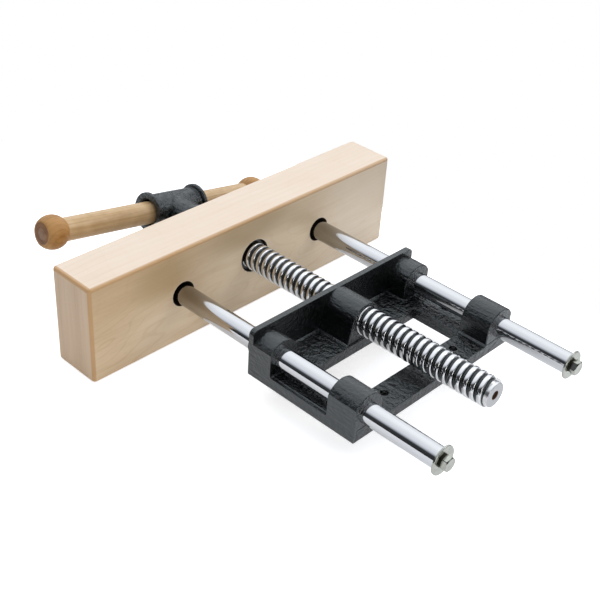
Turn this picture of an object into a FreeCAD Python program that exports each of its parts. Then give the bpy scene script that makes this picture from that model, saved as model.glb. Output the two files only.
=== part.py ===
import FreeCAD, Part
import Sketcher
import math
import os
import re

# A cabinet-maker's front vise: a hardwood jaw on two guide rods and a lead screw, carried by an
# iron casting that bolts to the underside of a bench top.
#
# Frame, in millimetres: the origin is on the casting's mounting face, midway between its two rail
# holes. +X runs along the jaw, +Y along the rods away from the handle, +Z from the mounting face
# towards the rods. In use the part hangs the other way up, with the mounting face against the bench.

DRIVING_SIZES = [
    # wooden jaw
    ("jaw_length", 406.4, "length of the wooden jaw"),
    ("jaw_height", 103.0, "height of the wooden jaw"),
    ("jaw_thickness", 55.5, "thickness of the wooden jaw"),
    ("jaw_drop", 27.5, "how far the jaw's edge stands beyond the mounting face"),
    ("jaw_corner", 4.4, "rounding of the jaw's four upright edges"),
    ("jaw_rounding", 2.6, "rounding of the jaw's edges"),
    ("jaw_rod_hole_radius", 13.2, "holes for the guide rods in the jaw"),
    ("jaw_screw_hole_radius", 17.9, "hole for the screw sleeve in the jaw"),
    ("rest_opening", 107.4, "distance from the jaw's inner face to the casting at rest"),
    # guide rods and their end fittings
    ("rod_spacing", 188.5, "distance between the two rod axes"),
    ("rod_height", 25.5, "rod axes above the mounting face"),
    ("rod_radius", 10.3, "guide rods"),
    ("rod_reach", 316.0, "rod behind the jaw's inner face"),
    ("rod_chamfer", 0.8, "easing of the rod ends"),
    ("rod_tap_depth", 20.0, "depth of the tapped hole in each rod end"),
    ("rod_clearance", 0.15, "radial play of the rods in the casting"),
    ("socket_clearance", 0.05, "radial play of a rod or spigot in its fixed socket"),
    # hexagon bolts and washers on the rod ends
    ("bolt_radius", 4.0, "bolt shank"),
    ("bolt_play", 0.05, "radial play of a bolt in its tapped hole"),
    ("bolt_length", 16.0, "bolt under its head"),
    ("bolt_flats", 13.0, "bolt head across the flats"),
    ("bolt_head", 5.4, "bolt head height"),
    ("bolt_collar_radius", 6.3, "round bearing face under the bolt head"),
    ("bolt_collar", 1.7, "thickness of the bearing face under the bolt head"),
    ("bolt_head_chamfer", 0.5, "easing of the bolt head's outer face across the flats"),
    ("stop_washer_radius", 14.0, "washers that stop the rods"),
    ("washer_thickness", 1.8, "all flat washers"),
    ("washer_play", 0.3, "radial play of a bolt in its washer"),
    ("front_washer_radius", 9.0, "washers under the front bolts"),
    # front plate on the outer face of the jaw
    ("front_plate_thickness", 8.0, "plate that ties the rods to the jaw"),
    ("front_plate_height", 40.0, "plate's height"),
    ("front_plate_overhang", 18.0, "plate beyond each rod axis"),
    ("front_plate_rounding", 12.0, "corners of the front plate"),
    ("front_rod_boss_radius", 16.0, "bosses round the rod sockets"),
    ("front_rod_boss_depth", 12.0, "rod bosses in front of the plate"),
    ("front_rod_boss_wall", 6.0, "metal left in front of the rod socket"),
    ("front_screw_boss_radius", 20.0, "boss round the screw"),
    ("front_screw_boss_depth", 18.3, "screw boss in front of the plate"),
    ("sleeve_radius", 17.3, "sleeve that carries the screw through the jaw"),
    ("sleeve_recess", 7.2, "sleeve end short of the jaw's inner face"),
    ("journal_clearance", 0.15, "radial play of the screw in the sleeve"),
    ("thrust_play", 0.2, "end play of the screw at each thrust face"),
    # wood screws through the front plate
    ("wood_screw_radius", 2.4, "wood screw shank"),
    ("wood_screw_length", 38.0, "wood screw"),
    ("wood_screw_head_radius", 4.9, "wood screw head"),
    ("wood_screw_offset", 52.0, "wood screws from the screw axis, along the plate"),
    ("wood_screw_rise", 12.0, "wood screws above and below the rod axes"),
    ("wood_screw_play", 0.1, "radial play of the screws in their holes"),
    # lead screw
    ("screw_height", 30.6, "screw axis above the mounting face"),
    ("thread_radius", 14.4, "thread crest and journal"),
    ("thread_root_radius", 12.2, "thread root"),
    ("lead", 7.8, "advance of the screw in one turn"),
    ("groove_root_width", 2.1, "thread groove at its root"),
    ("groove_crest_width", 3.2, "thread groove at the crest"),
    ("thread_inset", 1.33, "first groove before the jaw's inner face"),
    ("screw_reach", 299.4, "screw behind the jaw's inner face"),
    ("screw_land_radius", 12.1, "plain end of the screw"),
    ("screw_land_length", 3.8, "plain end of the screw"),
    ("screw_end_chamfer", 0.6, "easing of the screw's end"),
    ("centre_hole_radius", 4.4, "centre hole in the screw's end"),
    ("centre_hole_depth", 14.0, "centre hole in the screw's end"),
    ("spigot_radius", 11.0, "screw end inside the hub"),
    ("spigot_length", 31.0, "screw end inside the hub"),
    ("thread_flank_play", 0.3, "play of the nut thread along the axis, each side"),
    ("thread_radial_play", 0.3, "play of the nut thread at crest and root"),
    # collar and thrust washer at the back of the sleeve
    ("collar_groove_radius", 13.2, "bottom of the collar's groove"),
    ("collar_groove_width", 2.0, "width of the collar's groove"),
    ("collar_radius", 16.8, "split collar on the screw"),
    ("collar_thickness", 1.8, "split collar"),
    ("collar_play", 0.1, "play of the collar in its groove"),
    ("collar_gap", 5.0, "split in the collar"),
    ("thrust_washer_radius", 16.9, "washer between sleeve and collar"),
    # hub and handle
    ("hub_reach", 73.8, "handle axis in front of the jaw's outer face"),
    ("handle_tilt", 10.45, "angle of the handle to the jaw at rest"),
    ("hub_radius", 17.8, "cross tube of the hub"),
    ("hub_half_length", 34.5, "half the cross tube"),
    ("hub_flange_radius", 21.0, "flanges at the ends of the cross tube"),
    ("hub_flange_width", 4.6, "flanges at the ends of the cross tube"),
    ("hub_neck_radius", 17.0, "neck from the cross tube to the front plate"),
    ("hub_bore_radius", 13.0, "bore for the handle"),
    ("hub_mouth_radius", 15.2, "countersunk mouth of the bore"),
    ("hub_mouth_depth", 2.6, "countersunk mouth of the bore"),
    ("hub_pin_radius", 3.0, "cross pin through hub and screw"),
    ("hub_pin_offset", 35.8, "cross pin behind the handle axis"),
    ("hub_pin_play", 0.05, "radial play of the cross pin"),
    ("handle_radius", 12.0, "wooden handle"),
    ("handle_gap", 0.25, "gap under the handle where it lies in the bore"),
    ("handle_span", 274.9, "distance between the knob centres"),
    ("handle_shift", 16.95, "how far the handle is pushed through at rest"),
    ("tenon_radius", 6.5, "tenons of the handle"),
    ("tenon_play", 0.05, "radial play of a tenon in its knob"),
    ("knob_radius", 17.5, "round knobs on the handle"),
    ("knob_flat_radius", 12.9, "flat on the outer end of a knob"),
    # carrier casting
    ("base_overhang", 16.25, "casting beyond each rod axis"),
    ("base_depth", 130.0, "casting along the rods"),
    ("base_thickness", 11.1, "casting's base"),
    ("base_corner", 2.0, "rounding of the base's corners"),
    ("side_rail", 37.5, "base on each side of the window"),
    ("front_flange", 45.0, "base in front of the window"),
    ("rear_bar", 30.6, "base behind the window"),
    ("window_corner", 4.0, "rounding of the window's corners"),
    ("plate_thickness", 6.2, "upright plate at the front of the base"),
    ("plate_corner", 6.0, "rounding of the plate's top corners"),
    ("rod_boss_radius", 18.8, "bosses round the rods"),
    ("front_boss_length", 28.7, "front rod bosses from the casting's front face"),
    ("rear_boss_length", 32.2, "rear rod bosses"),
    ("screw_boss_radius", 18.3, "boss round the nut thread"),
    ("screw_boss_length", 43.2, "screw boss from the casting's front face"),
    ("screw_boss_draft", 14.0, "angle of the screw boss's sides below its round"),
    ("rod_collar_radius", 12.4, "collars round the rods on the front face"),
    ("rod_collar_depth", 5.0, "collars round the rods on the front face"),
    ("mounting_hole_radius", 4.1, "four mounting holes"),
    ("rear_hole_spacing", 99.0, "mounting holes in the rear bar"),
    ("rear_hole_inset", 19.0, "rear mounting holes from the casting's rear face"),
    ("rail_hole_offset", 2.75, "side rail mounting holes outside the rod axes"),
    ("casting_fillet", 2.0, "fillets where bosses and plate meet the base"),
    ("casting_rounding", 1.0, "rounding of the rims of the plate and the bosses"),
    ("cutter_margin", 1.0, "how far a cutting shape runs past what it cuts"),
]

# Places along Y and lengths that follow from the driving sizes.
CASTING_FRONT = "(-base_depth / 2)"
CASTING_REAR = "(base_depth / 2)"
JAW_INNER = f"({CASTING_FRONT} - rest_opening)"
JAW_OUTER = f"({JAW_INNER} - jaw_thickness)"
PLATE_FRONT = f"({JAW_OUTER} - front_plate_thickness)"
ROD_BOSS_FRONT = f"({PLATE_FRONT} - front_rod_boss_depth)"
ROD_FRONT = f"({ROD_BOSS_FRONT} + front_rod_boss_wall)"
ROD_REAR = f"({JAW_INNER} + rod_reach)"
SCREW_BOSS_FRONT = f"({PLATE_FRONT} - front_screw_boss_depth)"
HUB_SHOULDER = f"({SCREW_BOSS_FRONT} - thrust_play)"
HUB_CENTRE = f"({JAW_OUTER} - hub_reach)"
SLEEVE_REAR = f"({JAW_INNER} - sleeve_recess)"
COLLAR_FRONT = f"({SLEEVE_REAR} + washer_thickness + thrust_play)"
COLLAR_GROOVE_FRONT = f"({COLLAR_FRONT} - (collar_groove_width - collar_thickness) / 2)"
SCREW_FRONT = f"({HUB_SHOULDER} - spigot_length)"
SCREW_REAR = f"({JAW_INNER} + screw_reach)"
THREAD_END = f"({SCREW_REAR} - screw_land_length)"
THREAD_START = f"({JAW_INNER} - thread_inset)"
PLATE_TOP = "(screw_height + screw_boss_radius)"
ROD_X = "(rod_spacing / 2)"
HALF_WIDTH = f"({ROD_X} + base_overhang)"
JOURNAL_BORE = "(thread_radius + journal_clearance)"
ROD_BORE = "(rod_radius + rod_clearance)"
TAP_RADIUS = "(bolt_radius + bolt_play)"
BOLT_CORNER = "(bolt_flats / sqrt(3))"
KNOB_INNER_FLAT = "sqrt(knob_radius ^ 2 - handle_radius ^ 2)"
KNOB_OUTER_FLAT = "sqrt(knob_radius ^ 2 - knob_flat_radius ^ 2)"

ALONG_Y = FreeCAD.Rotation(FreeCAD.Vector(1, 0, 0), -90)
AGAINST_Y = FreeCAD.Rotation(FreeCAD.Vector(1, 0, 0), 90)

doc = FreeCAD.newDocument("front_vise")
sheet = doc.addObject("Spreadsheet::Sheet", "Sizes")
parts = []


# ---------------------------------------------------------------- helpers

def fill_sheet():
    """Write each driving size, its alias and its meaning into the sheet."""
    for row, (alias, value, meaning) in enumerate(DRIVING_SIZES, start=1):
        sheet.set(f"A{row}", alias)
        sheet.set(f"B{row}", str(value))
        sheet.set(f"C{row}", meaning)
        sheet.setAlias(f"B{row}", alias)
    doc.recompute()


def on_sheet(text):
    """Point every alias in an expression at the sheet."""
    names = "|".join(alias for alias, _, _ in DRIVING_SIZES)
    return re.sub(rf"\b({names})\b", r"Sizes.\1", str(text))


def bind(item, prop, text):
    """Bind a property to an expression in the sheet's aliases."""
    item.setExpression(prop, on_sheet(text))


def size(text):
    """The present value of an expression in the sheet's aliases."""
    value = sheet.evalExpression(on_sheet(text))
    return float(getattr(value, "Value", value))


def place(item, x="0", y="0", z="0", rotation=None):
    """Turn an object and bind its place to expressions."""
    item.Placement = FreeCAD.Placement(FreeCAD.Vector(), rotation or FreeCAD.Rotation())
    bind(item, "Placement.Base.x", x)
    bind(item, "Placement.Base.y", y)
    bind(item, "Placement.Base.z", z)
    return item


def tilt_with_handle(item, axis=(0, -1, 0), angle="handle_tilt"):
    """Bind an object's turn about the screw axis."""
    item.Placement.Rotation = FreeCAD.Rotation(FreeCAD.Vector(*axis), size(angle))
    bind(item, "Placement.Rotation.Angle", angle)
    return item


def keep(item, label):
    """Name a finished sub-part and list it for export."""
    item.Label = label
    parts.append(item)
    return item


def new_body(name):
    """Start a PartDesign body."""
    return doc.addObject("PartDesign::Body", f"{name}_body")


def sketch_on(body, role, name, offset="0"):
    """Start a sketch on one of the body's own origin planes, moved along its normal."""
    sketch = body.newObject("Sketcher::SketchObject", name)
    plane = next(item for item in body.Origin.OriginFeatures if item.Role == role)
    sketch.AttachmentSupport = (plane, "")
    sketch.MapMode = "FlatFace"
    bind(sketch, "AttachmentOffset.Base.z", offset)
    return sketch


def sketch_across(body, name, y="0"):
    """Start a sketch across the rods at a given y. Its normal points along -Y."""
    return sketch_on(body, "XZ_Plane", name, f"-({y})")


def fix_point(sketch, curve, end, x, y):
    """Bind one point of a sketch to expressions for its two coordinates."""
    for kind, text in (("DistanceX", x), ("DistanceY", y)):
        index = sketch.addConstraint(Sketcher.Constraint(kind, curve, end, 1.0))
        bind(sketch, f"Constraints[{index}]", text)


def polygon(sketch, corners):
    """Draw a closed outline through corners given as pairs of expressions."""
    count = len(corners)
    first = sketch.GeometryCount
    turn = 2 * math.pi / count
    spots = [FreeCAD.Vector(math.cos(k * turn), math.sin(k * turn), 0) for k in range(count)]
    for k in range(count):
        sketch.addGeometry(Part.LineSegment(spots[k], spots[(k + 1) % count]), False)
    for k in range(count):
        following = first + (k + 1) % count
        sketch.addConstraint(Sketcher.Constraint("Coincident", first + k, 2, following, 1))
    for k, (x, y) in enumerate(corners):
        fix_point(sketch, first + k, 1, x, y)
    return sketch


def rectangle(sketch, x_low, x_high, y_low, y_high):
    """Draw a rectangle between expressions."""
    return polygon(sketch, [(x_low, y_low), (x_high, y_low), (x_high, y_high), (x_low, y_high)])


def circle(sketch, x, y, radius):
    """Draw a circle whose centre and radius are expressions."""
    curve = sketch.addGeometry(Part.Circle(FreeCAD.Vector(), FreeCAD.Vector(0, 0, 1), 1.0), False)
    fix_point(sketch, curve, 3, x, y)
    index = sketch.addConstraint(Sketcher.Constraint("Radius", curve, 1.0))
    bind(sketch, f"Constraints[{index}]", radius)
    return sketch


def extrude(body, kind, sketch, length, backwards=False, both_ways=False):
    """Pad or pocket a sketch by an expression."""
    feature = body.newObject(f"PartDesign::{kind}", f"{sketch.Name}_{kind.lower()}")
    feature.Profile = sketch
    bind(feature, "Length", length)
    feature.Reversed = backwards
    feature.Midplane = both_ways
    return feature


def pad_along_y(body, sketch, length):
    """Pad a sketch made across the rods towards +Y."""
    return extrude(body, "Pad", sketch, length, backwards=True)


def cut_along_y(body, sketch, length):
    """Pocket a sketch made across the rods towards +Y."""
    return extrude(body, "Pocket", sketch, length)


def revolve(body, sketch, axis="V_Axis", kind="Revolution"):
    """Turn a sketch once about one of its axes, to add (Revolution) or to cut (Groove)."""
    feature = body.newObject(f"PartDesign::{kind}", f"{sketch.Name}_{kind.lower()}")
    feature.Profile = sketch
    feature.ReferenceAxis = (sketch, [axis])
    feature.Angle = 360
    return feature


def cut_helix(body, sketch, height):
    """Cut a right-hand thread groove about the sketch's vertical axis."""
    feature = body.newObject("PartDesign::SubtractiveHelix", f"{sketch.Name}_helix")
    feature.Profile = sketch
    feature.ReferenceAxis = (sketch, ["V_Axis"])
    feature.Mode = 0
    feature.Angle = 0
    feature.LeftHanded = False
    bind(feature, "Pitch", "lead")
    bind(feature, "Height", height)
    return feature


def turned(name, outline):
    """A body turned about its own Y axis from an outline of (radius, length) expressions."""
    body = new_body(name)
    revolve(body, polygon(sketch_on(body, "XY_Plane", f"{name}_outline"), outline))
    return body


def ring(name, inner, outer, front, thickness):
    """A flat ring about its own Y axis, starting at a given y."""
    back = f"{front} + {thickness}"
    return turned(name, [(inner, front), (outer, front), (outer, back), (inner, back)])


def straight_edges(shape, test):
    """Names of the straight edges whose two ends pass a test."""
    names = []
    for number, edge in enumerate(shape.Edges, start=1):
        if isinstance(edge.Curve, Part.Line) and len(edge.Vertexes) == 2:
            start, end = (vertex.Point for vertex in edge.Vertexes)
            if test(start, end):
                names.append(f"Edge{number}")
    return names


def dress(body, kind, name, edges, value):
    """Round (Fillet) or ease (Chamfer) edges of the body's latest feature."""
    base = body.Tip
    feature = body.newObject(f"PartDesign::{kind}", name)
    feature.Base = (base, edges)
    bind(feature, "Radius" if kind == "Fillet" else "Size", value)
    return feature


def near(first, second):
    """Whether two lengths are the same."""
    return abs(first - second) < 1e-4


fill_sheet()

# ---------------------------------------------------------------- carrier casting

casting = new_body("carrier_casting")

base = rectangle(sketch_on(casting, "XY_Plane", "base"),
                 f"-{HALF_WIDTH}", HALF_WIDTH, CASTING_FRONT, CASTING_REAR)
extrude(casting, "Pad", base, "base_thickness")

plate = rectangle(sketch_across(casting, "plate", CASTING_FRONT),
                  f"-{HALF_WIDTH}", HALF_WIDTH, "0", PLATE_TOP)
pad_along_y(casting, plate, "plate_thickness")
doc.recompute()
plate_top = size(PLATE_TOP)
dress(casting, "Fillet", "plate_corners",
      straight_edges(casting.Shape, lambda start, end: near(start.z, plate_top)
                     and near(end.z, plate_top) and near(start.x, end.x)),
      "plate_corner")

# Each boss is round on top. Its sides run down from the round, upright or with a draft.
BOSSES = [
    ("front_rod_boss", CASTING_FRONT, "front_boss_length", "rod_boss_radius", "rod_height",
     "0", (f"-{ROD_X}", ROD_X)),
    ("rear_rod_boss", f"({CASTING_REAR} - rear_boss_length)", "rear_boss_length",
     "rod_boss_radius", "rod_height", "0", (f"-{ROD_X}", ROD_X)),
    ("screw_boss", CASTING_FRONT, "screw_boss_length", "screw_boss_radius", "screw_height",
     "screw_boss_draft", ("0",)),
]
for name, start, length, radius, height, draft, centres in BOSSES:
    rounds = sketch_across(casting, f"{name}_round", start)
    feet = sketch_across(casting, f"{name}_foot", start)
    top_half = f"{radius} * cos({draft})"
    top = f"{height} + {radius} * sin({draft})"
    foot_half = f"({radius} + {height} * sin({draft})) / cos({draft})"
    for centre in centres:
        circle(rounds, centre, height, radius)
        polygon(feet, [
            (f"{centre} - {foot_half}", "0"),
            (f"{centre} + {foot_half}", "0"),
            (f"{centre} + {top_half}", top),
            (f"{centre} - {top_half}", top),
        ])
    pad_along_y(casting, feet, length)
    pad_along_y(casting, rounds, length)

collars = sketch_across(casting, "rod_collars", f"{CASTING_FRONT} - rod_collar_depth")
for centre in (f"-{ROD_X}", ROD_X):
    circle(collars, centre, "rod_height", "rod_collar_radius")
pad_along_y(casting, collars, "rod_collar_depth + plate_thickness")

# The outer sides of the rod bosses are flush with the sides of the base.
trims = sketch_across(casting, "side_trims", f"{CASTING_FRONT} - cutter_margin")
TRIM_OUT = f"{HALF_WIDTH} + rod_boss_radius"
rectangle(trims, HALF_WIDTH, TRIM_OUT, "0", PLATE_TOP)
rectangle(trims, f"-({TRIM_OUT})", f"-{HALF_WIDTH}", "0", PLATE_TOP)
cut_along_y(casting, trims, "base_depth + 2 * cutter_margin")
doc.recompute()

# Fillets where the plate and the bosses stand on the base.
base_top = size("base_thickness")
fillet_top = size("base_thickness + casting_fillet")
outline_x = size(HALF_WIDTH)
outline_y = size("base_depth / 2")
plate_front = size(f"{CASTING_FRONT} + plate_thickness")


def stands_on_base(start, end):
    """Whether an edge runs across the top of the base, inside its outline."""
    on_top = near(start.z, base_top) and near(end.z, base_top)
    on_side = near(abs(start.x), outline_x) and near(start.x, end.x)
    on_end = near(abs(start.y), outline_y) and near(start.y, end.y)
    return on_top and not on_side and not on_end


def rim_edges(shape, planes):
    """Names of the edges round faces that lie across the rods at given places along them."""
    names = []
    for number, edge in enumerate(shape.Edges, start=1):
        middle = (edge.FirstParameter + edge.LastParameter) / 2
        spots = [edge.valueAt(at) for at in (edge.FirstParameter, middle, edge.LastParameter)]
        in_plane = any(all(near(spot.y, plane) for spot in spots) for plane in planes)
        under = all(near(spot.z, 0) for spot in spots)
        at_fillet = all(near(spot.z, fillet_top) for spot in spots)
        at_side = all(near(abs(spot.x), outline_x) for spot in spots) and spots[0].y > plate_front
        if in_plane and not (under or at_fillet or at_side):
            names.append(f"Edge{number}")
    return names


dress(casting, "Fillet", "foot_fillets", straight_edges(casting.Shape, stands_on_base),
      "casting_fillet")
doc.recompute()
RIMS = [
    f"{CASTING_FRONT} - rod_collar_depth",
    CASTING_FRONT,
    f"{CASTING_FRONT} + front_boss_length",
    f"{CASTING_FRONT} + screw_boss_length",
    f"{CASTING_REAR} - rear_boss_length",
    CASTING_REAR,
]
dress(casting, "Fillet", "rim_rounding",
      rim_edges(casting.Shape, [size(rim) for rim in RIMS]), "casting_rounding")

window = rectangle(sketch_on(casting, "XY_Plane", "window", "-cutter_margin"),
                   f"-({HALF_WIDTH} - side_rail)", f"{HALF_WIDTH} - side_rail",
                   f"{CASTING_FRONT} + front_flange", f"{CASTING_REAR} - rear_bar")
extrude(casting, "Pocket", window, "base_thickness + 2 * cutter_margin", backwards=True)

holes = sketch_on(casting, "XY_Plane", "mounting_holes", "-cutter_margin")
for across, along in (("(rear_hole_spacing / 2)", f"{CASTING_REAR} - rear_hole_inset"),
                      (f"({ROD_X} + rail_hole_offset)", "0")):
    for side in ("-", ""):
        circle(holes, f"{side}{across}", along, "mounting_hole_radius")
extrude(casting, "Pocket", holes, "base_thickness + 2 * cutter_margin", backwards=True)

THROUGH_START = f"{CASTING_FRONT} - rod_collar_depth - cutter_margin"
bores = sketch_across(casting, "rod_bores", THROUGH_START)
for centre in (f"-{ROD_X}", ROD_X):
    circle(bores, centre, "rod_height", ROD_BORE)
cut_along_y(casting, bores, "base_depth + rod_collar_depth + 2 * cutter_margin")

nut_bore = circle(sketch_across(casting, "nut_bore", f"{CASTING_FRONT} - cutter_margin"),
                  "0", "screw_height", "thread_root_radius + thread_radial_play")
cut_along_y(casting, nut_bore, "screw_boss_length + 2 * cutter_margin")

# The nut's groove surrounds the screw's ridge, which lies half a lead from the screw's groove.
RIDGE = f"({THREAD_START} + lead * handle_tilt / 360 + lead / 2)"
NUT_START = f"({RIDGE} + lead * (floor(({CASTING_FRONT} - {RIDGE}) / lead) - 1))"
FLANK_SLOPE = "((groove_crest_width - groove_root_width) / (thread_radius - thread_root_radius))"
NUT_TIP_HALF = "((lead - groove_root_width) / 2 + thread_flank_play)"
NUT_BASE_HALF = (f"((lead - groove_crest_width - thread_radial_play * {FLANK_SLOPE}) / 2"
                 " + thread_flank_play)")
nut_thread = polygon(sketch_on(casting, "XY_Plane", "nut_thread", "screw_height"), [
    ("thread_root_radius", f"{NUT_START} - {NUT_TIP_HALF}"),
    ("thread_radius + thread_radial_play", f"{NUT_START} - {NUT_BASE_HALF}"),
    ("thread_radius + thread_radial_play", f"{NUT_START} + {NUT_BASE_HALF}"),
    ("thread_root_radius", f"{NUT_START} + {NUT_TIP_HALF}"),
])
cut_helix(casting, nut_thread, "screw_boss_length + 3 * lead")
keep(casting, "carrier_casting")

# ---------------------------------------------------------------- wooden jaw

jaw = new_body("wood_jaw")
block = rectangle(sketch_across(jaw, "block", JAW_OUTER), "-jaw_length / 2", "jaw_length / 2",
                  "-jaw_drop", "jaw_height - jaw_drop")
pad_along_y(jaw, block, "jaw_thickness")
doc.recompute()
dress(jaw, "Fillet", "jaw_corners",
      straight_edges(jaw.Shape, lambda start, end: not near(start.z, end.z)), "jaw_corner")
doc.recompute()
dress(jaw, "Fillet", "jaw_edges",
      straight_edges(jaw.Shape, lambda start, end: near(start.z, end.z)), "jaw_rounding")

jaw_holes = sketch_across(jaw, "jaw_holes", f"{JAW_OUTER} - cutter_margin")
for centre in (f"-{ROD_X}", ROD_X):
    circle(jaw_holes, centre, "rod_height", "jaw_rod_hole_radius")
circle(jaw_holes, "0", "screw_height", "jaw_screw_hole_radius")
cut_along_y(jaw, jaw_holes, "jaw_thickness + 2 * cutter_margin")

WOOD_SCREWS = [(f"{side}wood_screw_offset", f"rod_height {rise} wood_screw_rise")
               for side in ("-", "") for rise in ("-", "+")]
pilots = sketch_across(jaw, "pilot_holes", JAW_OUTER)
for x, z in WOOD_SCREWS:
    circle(pilots, x, z, "wood_screw_radius + wood_screw_play")
cut_along_y(jaw, pilots, "wood_screw_length - front_plate_thickness + cutter_margin")
keep(jaw, "wood_jaw")

# ---------------------------------------------------------------- front plate

front = new_body("front_plate")
TIE_HALF = f"({ROD_X} + front_plate_overhang)"
tie = rectangle(sketch_across(front, "tie", PLATE_FRONT), f"-{TIE_HALF}", TIE_HALF,
                "rod_height - front_plate_height / 2", "rod_height + front_plate_height / 2")
pad_along_y(front, tie, "front_plate_thickness")
doc.recompute()
tie_end = size(TIE_HALF)
dress(front, "Fillet", "tie_rounding",
      straight_edges(front.Shape, lambda start, end: near(abs(start.x), tie_end)
                     and near(start.x, end.x) and near(start.z, end.z)),
      "front_plate_rounding")

sockets = sketch_across(front, "rod_socket_bosses", ROD_BOSS_FRONT)
for centre in (f"-{ROD_X}", ROD_X):
    circle(sockets, centre, "rod_height", "front_rod_boss_radius")
pad_along_y(front, sockets, "front_rod_boss_depth + front_plate_thickness")
screw_collar = circle(sketch_across(front, "screw_collar", SCREW_BOSS_FRONT),
                      "0", "screw_height", "front_screw_boss_radius")
pad_along_y(front, screw_collar, "front_screw_boss_depth + front_plate_thickness / 2")
sleeve = circle(sketch_across(front, "sleeve", f"{JAW_OUTER} - front_plate_thickness / 2"),
                "0", "screw_height", "sleeve_radius")
pad_along_y(front, sleeve, f"{SLEEVE_REAR} - {JAW_OUTER} + front_plate_thickness / 2")

journal = circle(sketch_across(front, "journal", f"{SCREW_BOSS_FRONT} - cutter_margin"),
                 "0", "screw_height", JOURNAL_BORE)
cut_along_y(front, journal, f"{SLEEVE_REAR} - {SCREW_BOSS_FRONT} + 2 * cutter_margin")
rod_sockets = sketch_across(front, "rod_sockets", ROD_FRONT)
bolt_holes = sketch_across(front, "bolt_holes", f"{ROD_BOSS_FRONT} - cutter_margin")
for centre in (f"-{ROD_X}", ROD_X):
    circle(rod_sockets, centre, "rod_height", "rod_radius + socket_clearance")
    circle(bolt_holes, centre, "rod_height", "bolt_radius + washer_play")
cut_along_y(front, rod_sockets, f"{JAW_OUTER} - {ROD_FRONT} + cutter_margin")
cut_along_y(front, bolt_holes, "front_rod_boss_wall + 2 * cutter_margin")
screw_holes = sketch_across(front, "screw_holes", f"{PLATE_FRONT} - cutter_margin")
for x, z in WOOD_SCREWS:
    circle(screw_holes, x, z, "wood_screw_radius + wood_screw_play")
cut_along_y(front, screw_holes, "front_plate_thickness + 2 * cutter_margin")
doc.recompute()
mouth_y = size(PLATE_FRONT)
mouth_radius = size("wood_screw_radius + wood_screw_play")
mouths = []
for number, edge in enumerate(front.Shape.Edges, start=1):
    curve = edge.Curve
    if isinstance(curve, Part.Circle) and near(curve.Center.y, mouth_y) and near(curve.Radius, mouth_radius):
        mouths.append(f"Edge{number}")
dress(front, "Chamfer", "countersinks", mouths, "wood_screw_head_radius - wood_screw_radius")
keep(front, "front_plate")

# Countersunk wood screws, heads level with the plate.
screws = []
for number, (x, z) in enumerate(WOOD_SCREWS, start=1):
    head = doc.addObject("Part::Cone", f"wood_screw_head_{number}")
    bind(head, "Radius1", "wood_screw_head_radius")
    bind(head, "Radius2", "wood_screw_radius")
    bind(head, "Height", "wood_screw_head_radius - wood_screw_radius")
    place(head, x, PLATE_FRONT, z, ALONG_Y)
    shank = doc.addObject("Part::Cylinder", f"wood_screw_shank_{number}")
    bind(shank, "Radius", "wood_screw_radius")
    bind(shank, "Height", "wood_screw_length")
    place(shank, x, PLATE_FRONT, z, ALONG_Y)
    screw = doc.addObject("Part::Fuse", f"wood_screw_{number}")
    screw.Base = head
    screw.Tool = shank
    screws.append(screw)
group = doc.addObject("Part::Compound", "wood_screw_group")
group.Links = screws
keep(group, "jaw_screws")

# ---------------------------------------------------------------- guide rods and their fittings

def add_bolt(label, x, seat, backwards):
    """A hexagon bolt whose head sits on a washer at a given y and points along -Y or +Y."""
    sign, rotation = ("-", AGAINST_Y) if backwards else ("", ALONG_Y)
    prism = doc.addObject("Part::Prism", f"{label}_hexagon")
    prism.Polygon = 6
    bind(prism, "Circumradius", BOLT_CORNER)
    bind(prism, "Height", "bolt_head")
    place(prism, z="bolt_collar")
    ease = doc.addObject("Part::Cone", f"{label}_easing")
    bind(ease, "Radius2", "bolt_flats / 2 - bolt_head_chamfer")
    bind(ease, "Radius1", "bolt_flats / 2 - bolt_head_chamfer + bolt_head / tan(30)")
    bind(ease, "Height", "bolt_head")
    place(ease, z="bolt_collar")
    head = doc.addObject("Part::Common", f"{label}_head")
    head.Base = prism
    head.Tool = ease
    collar = doc.addObject("Part::Cylinder", f"{label}_collar")
    bind(collar, "Radius", "bolt_collar_radius")
    bind(collar, "Height", "bolt_collar")
    shank = doc.addObject("Part::Cylinder", f"{label}_shank")
    bind(shank, "Radius", "bolt_radius")
    bind(shank, "Height", "bolt_length")
    place(shank, z="-bolt_length")
    bolt = doc.addObject("Part::MultiFuse", f"{label}_bolt")
    bolt.Shapes = [head, collar, shank]
    place(bolt, x, seat, "rod_height", rotation)
    return keep(bolt, label)


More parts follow.
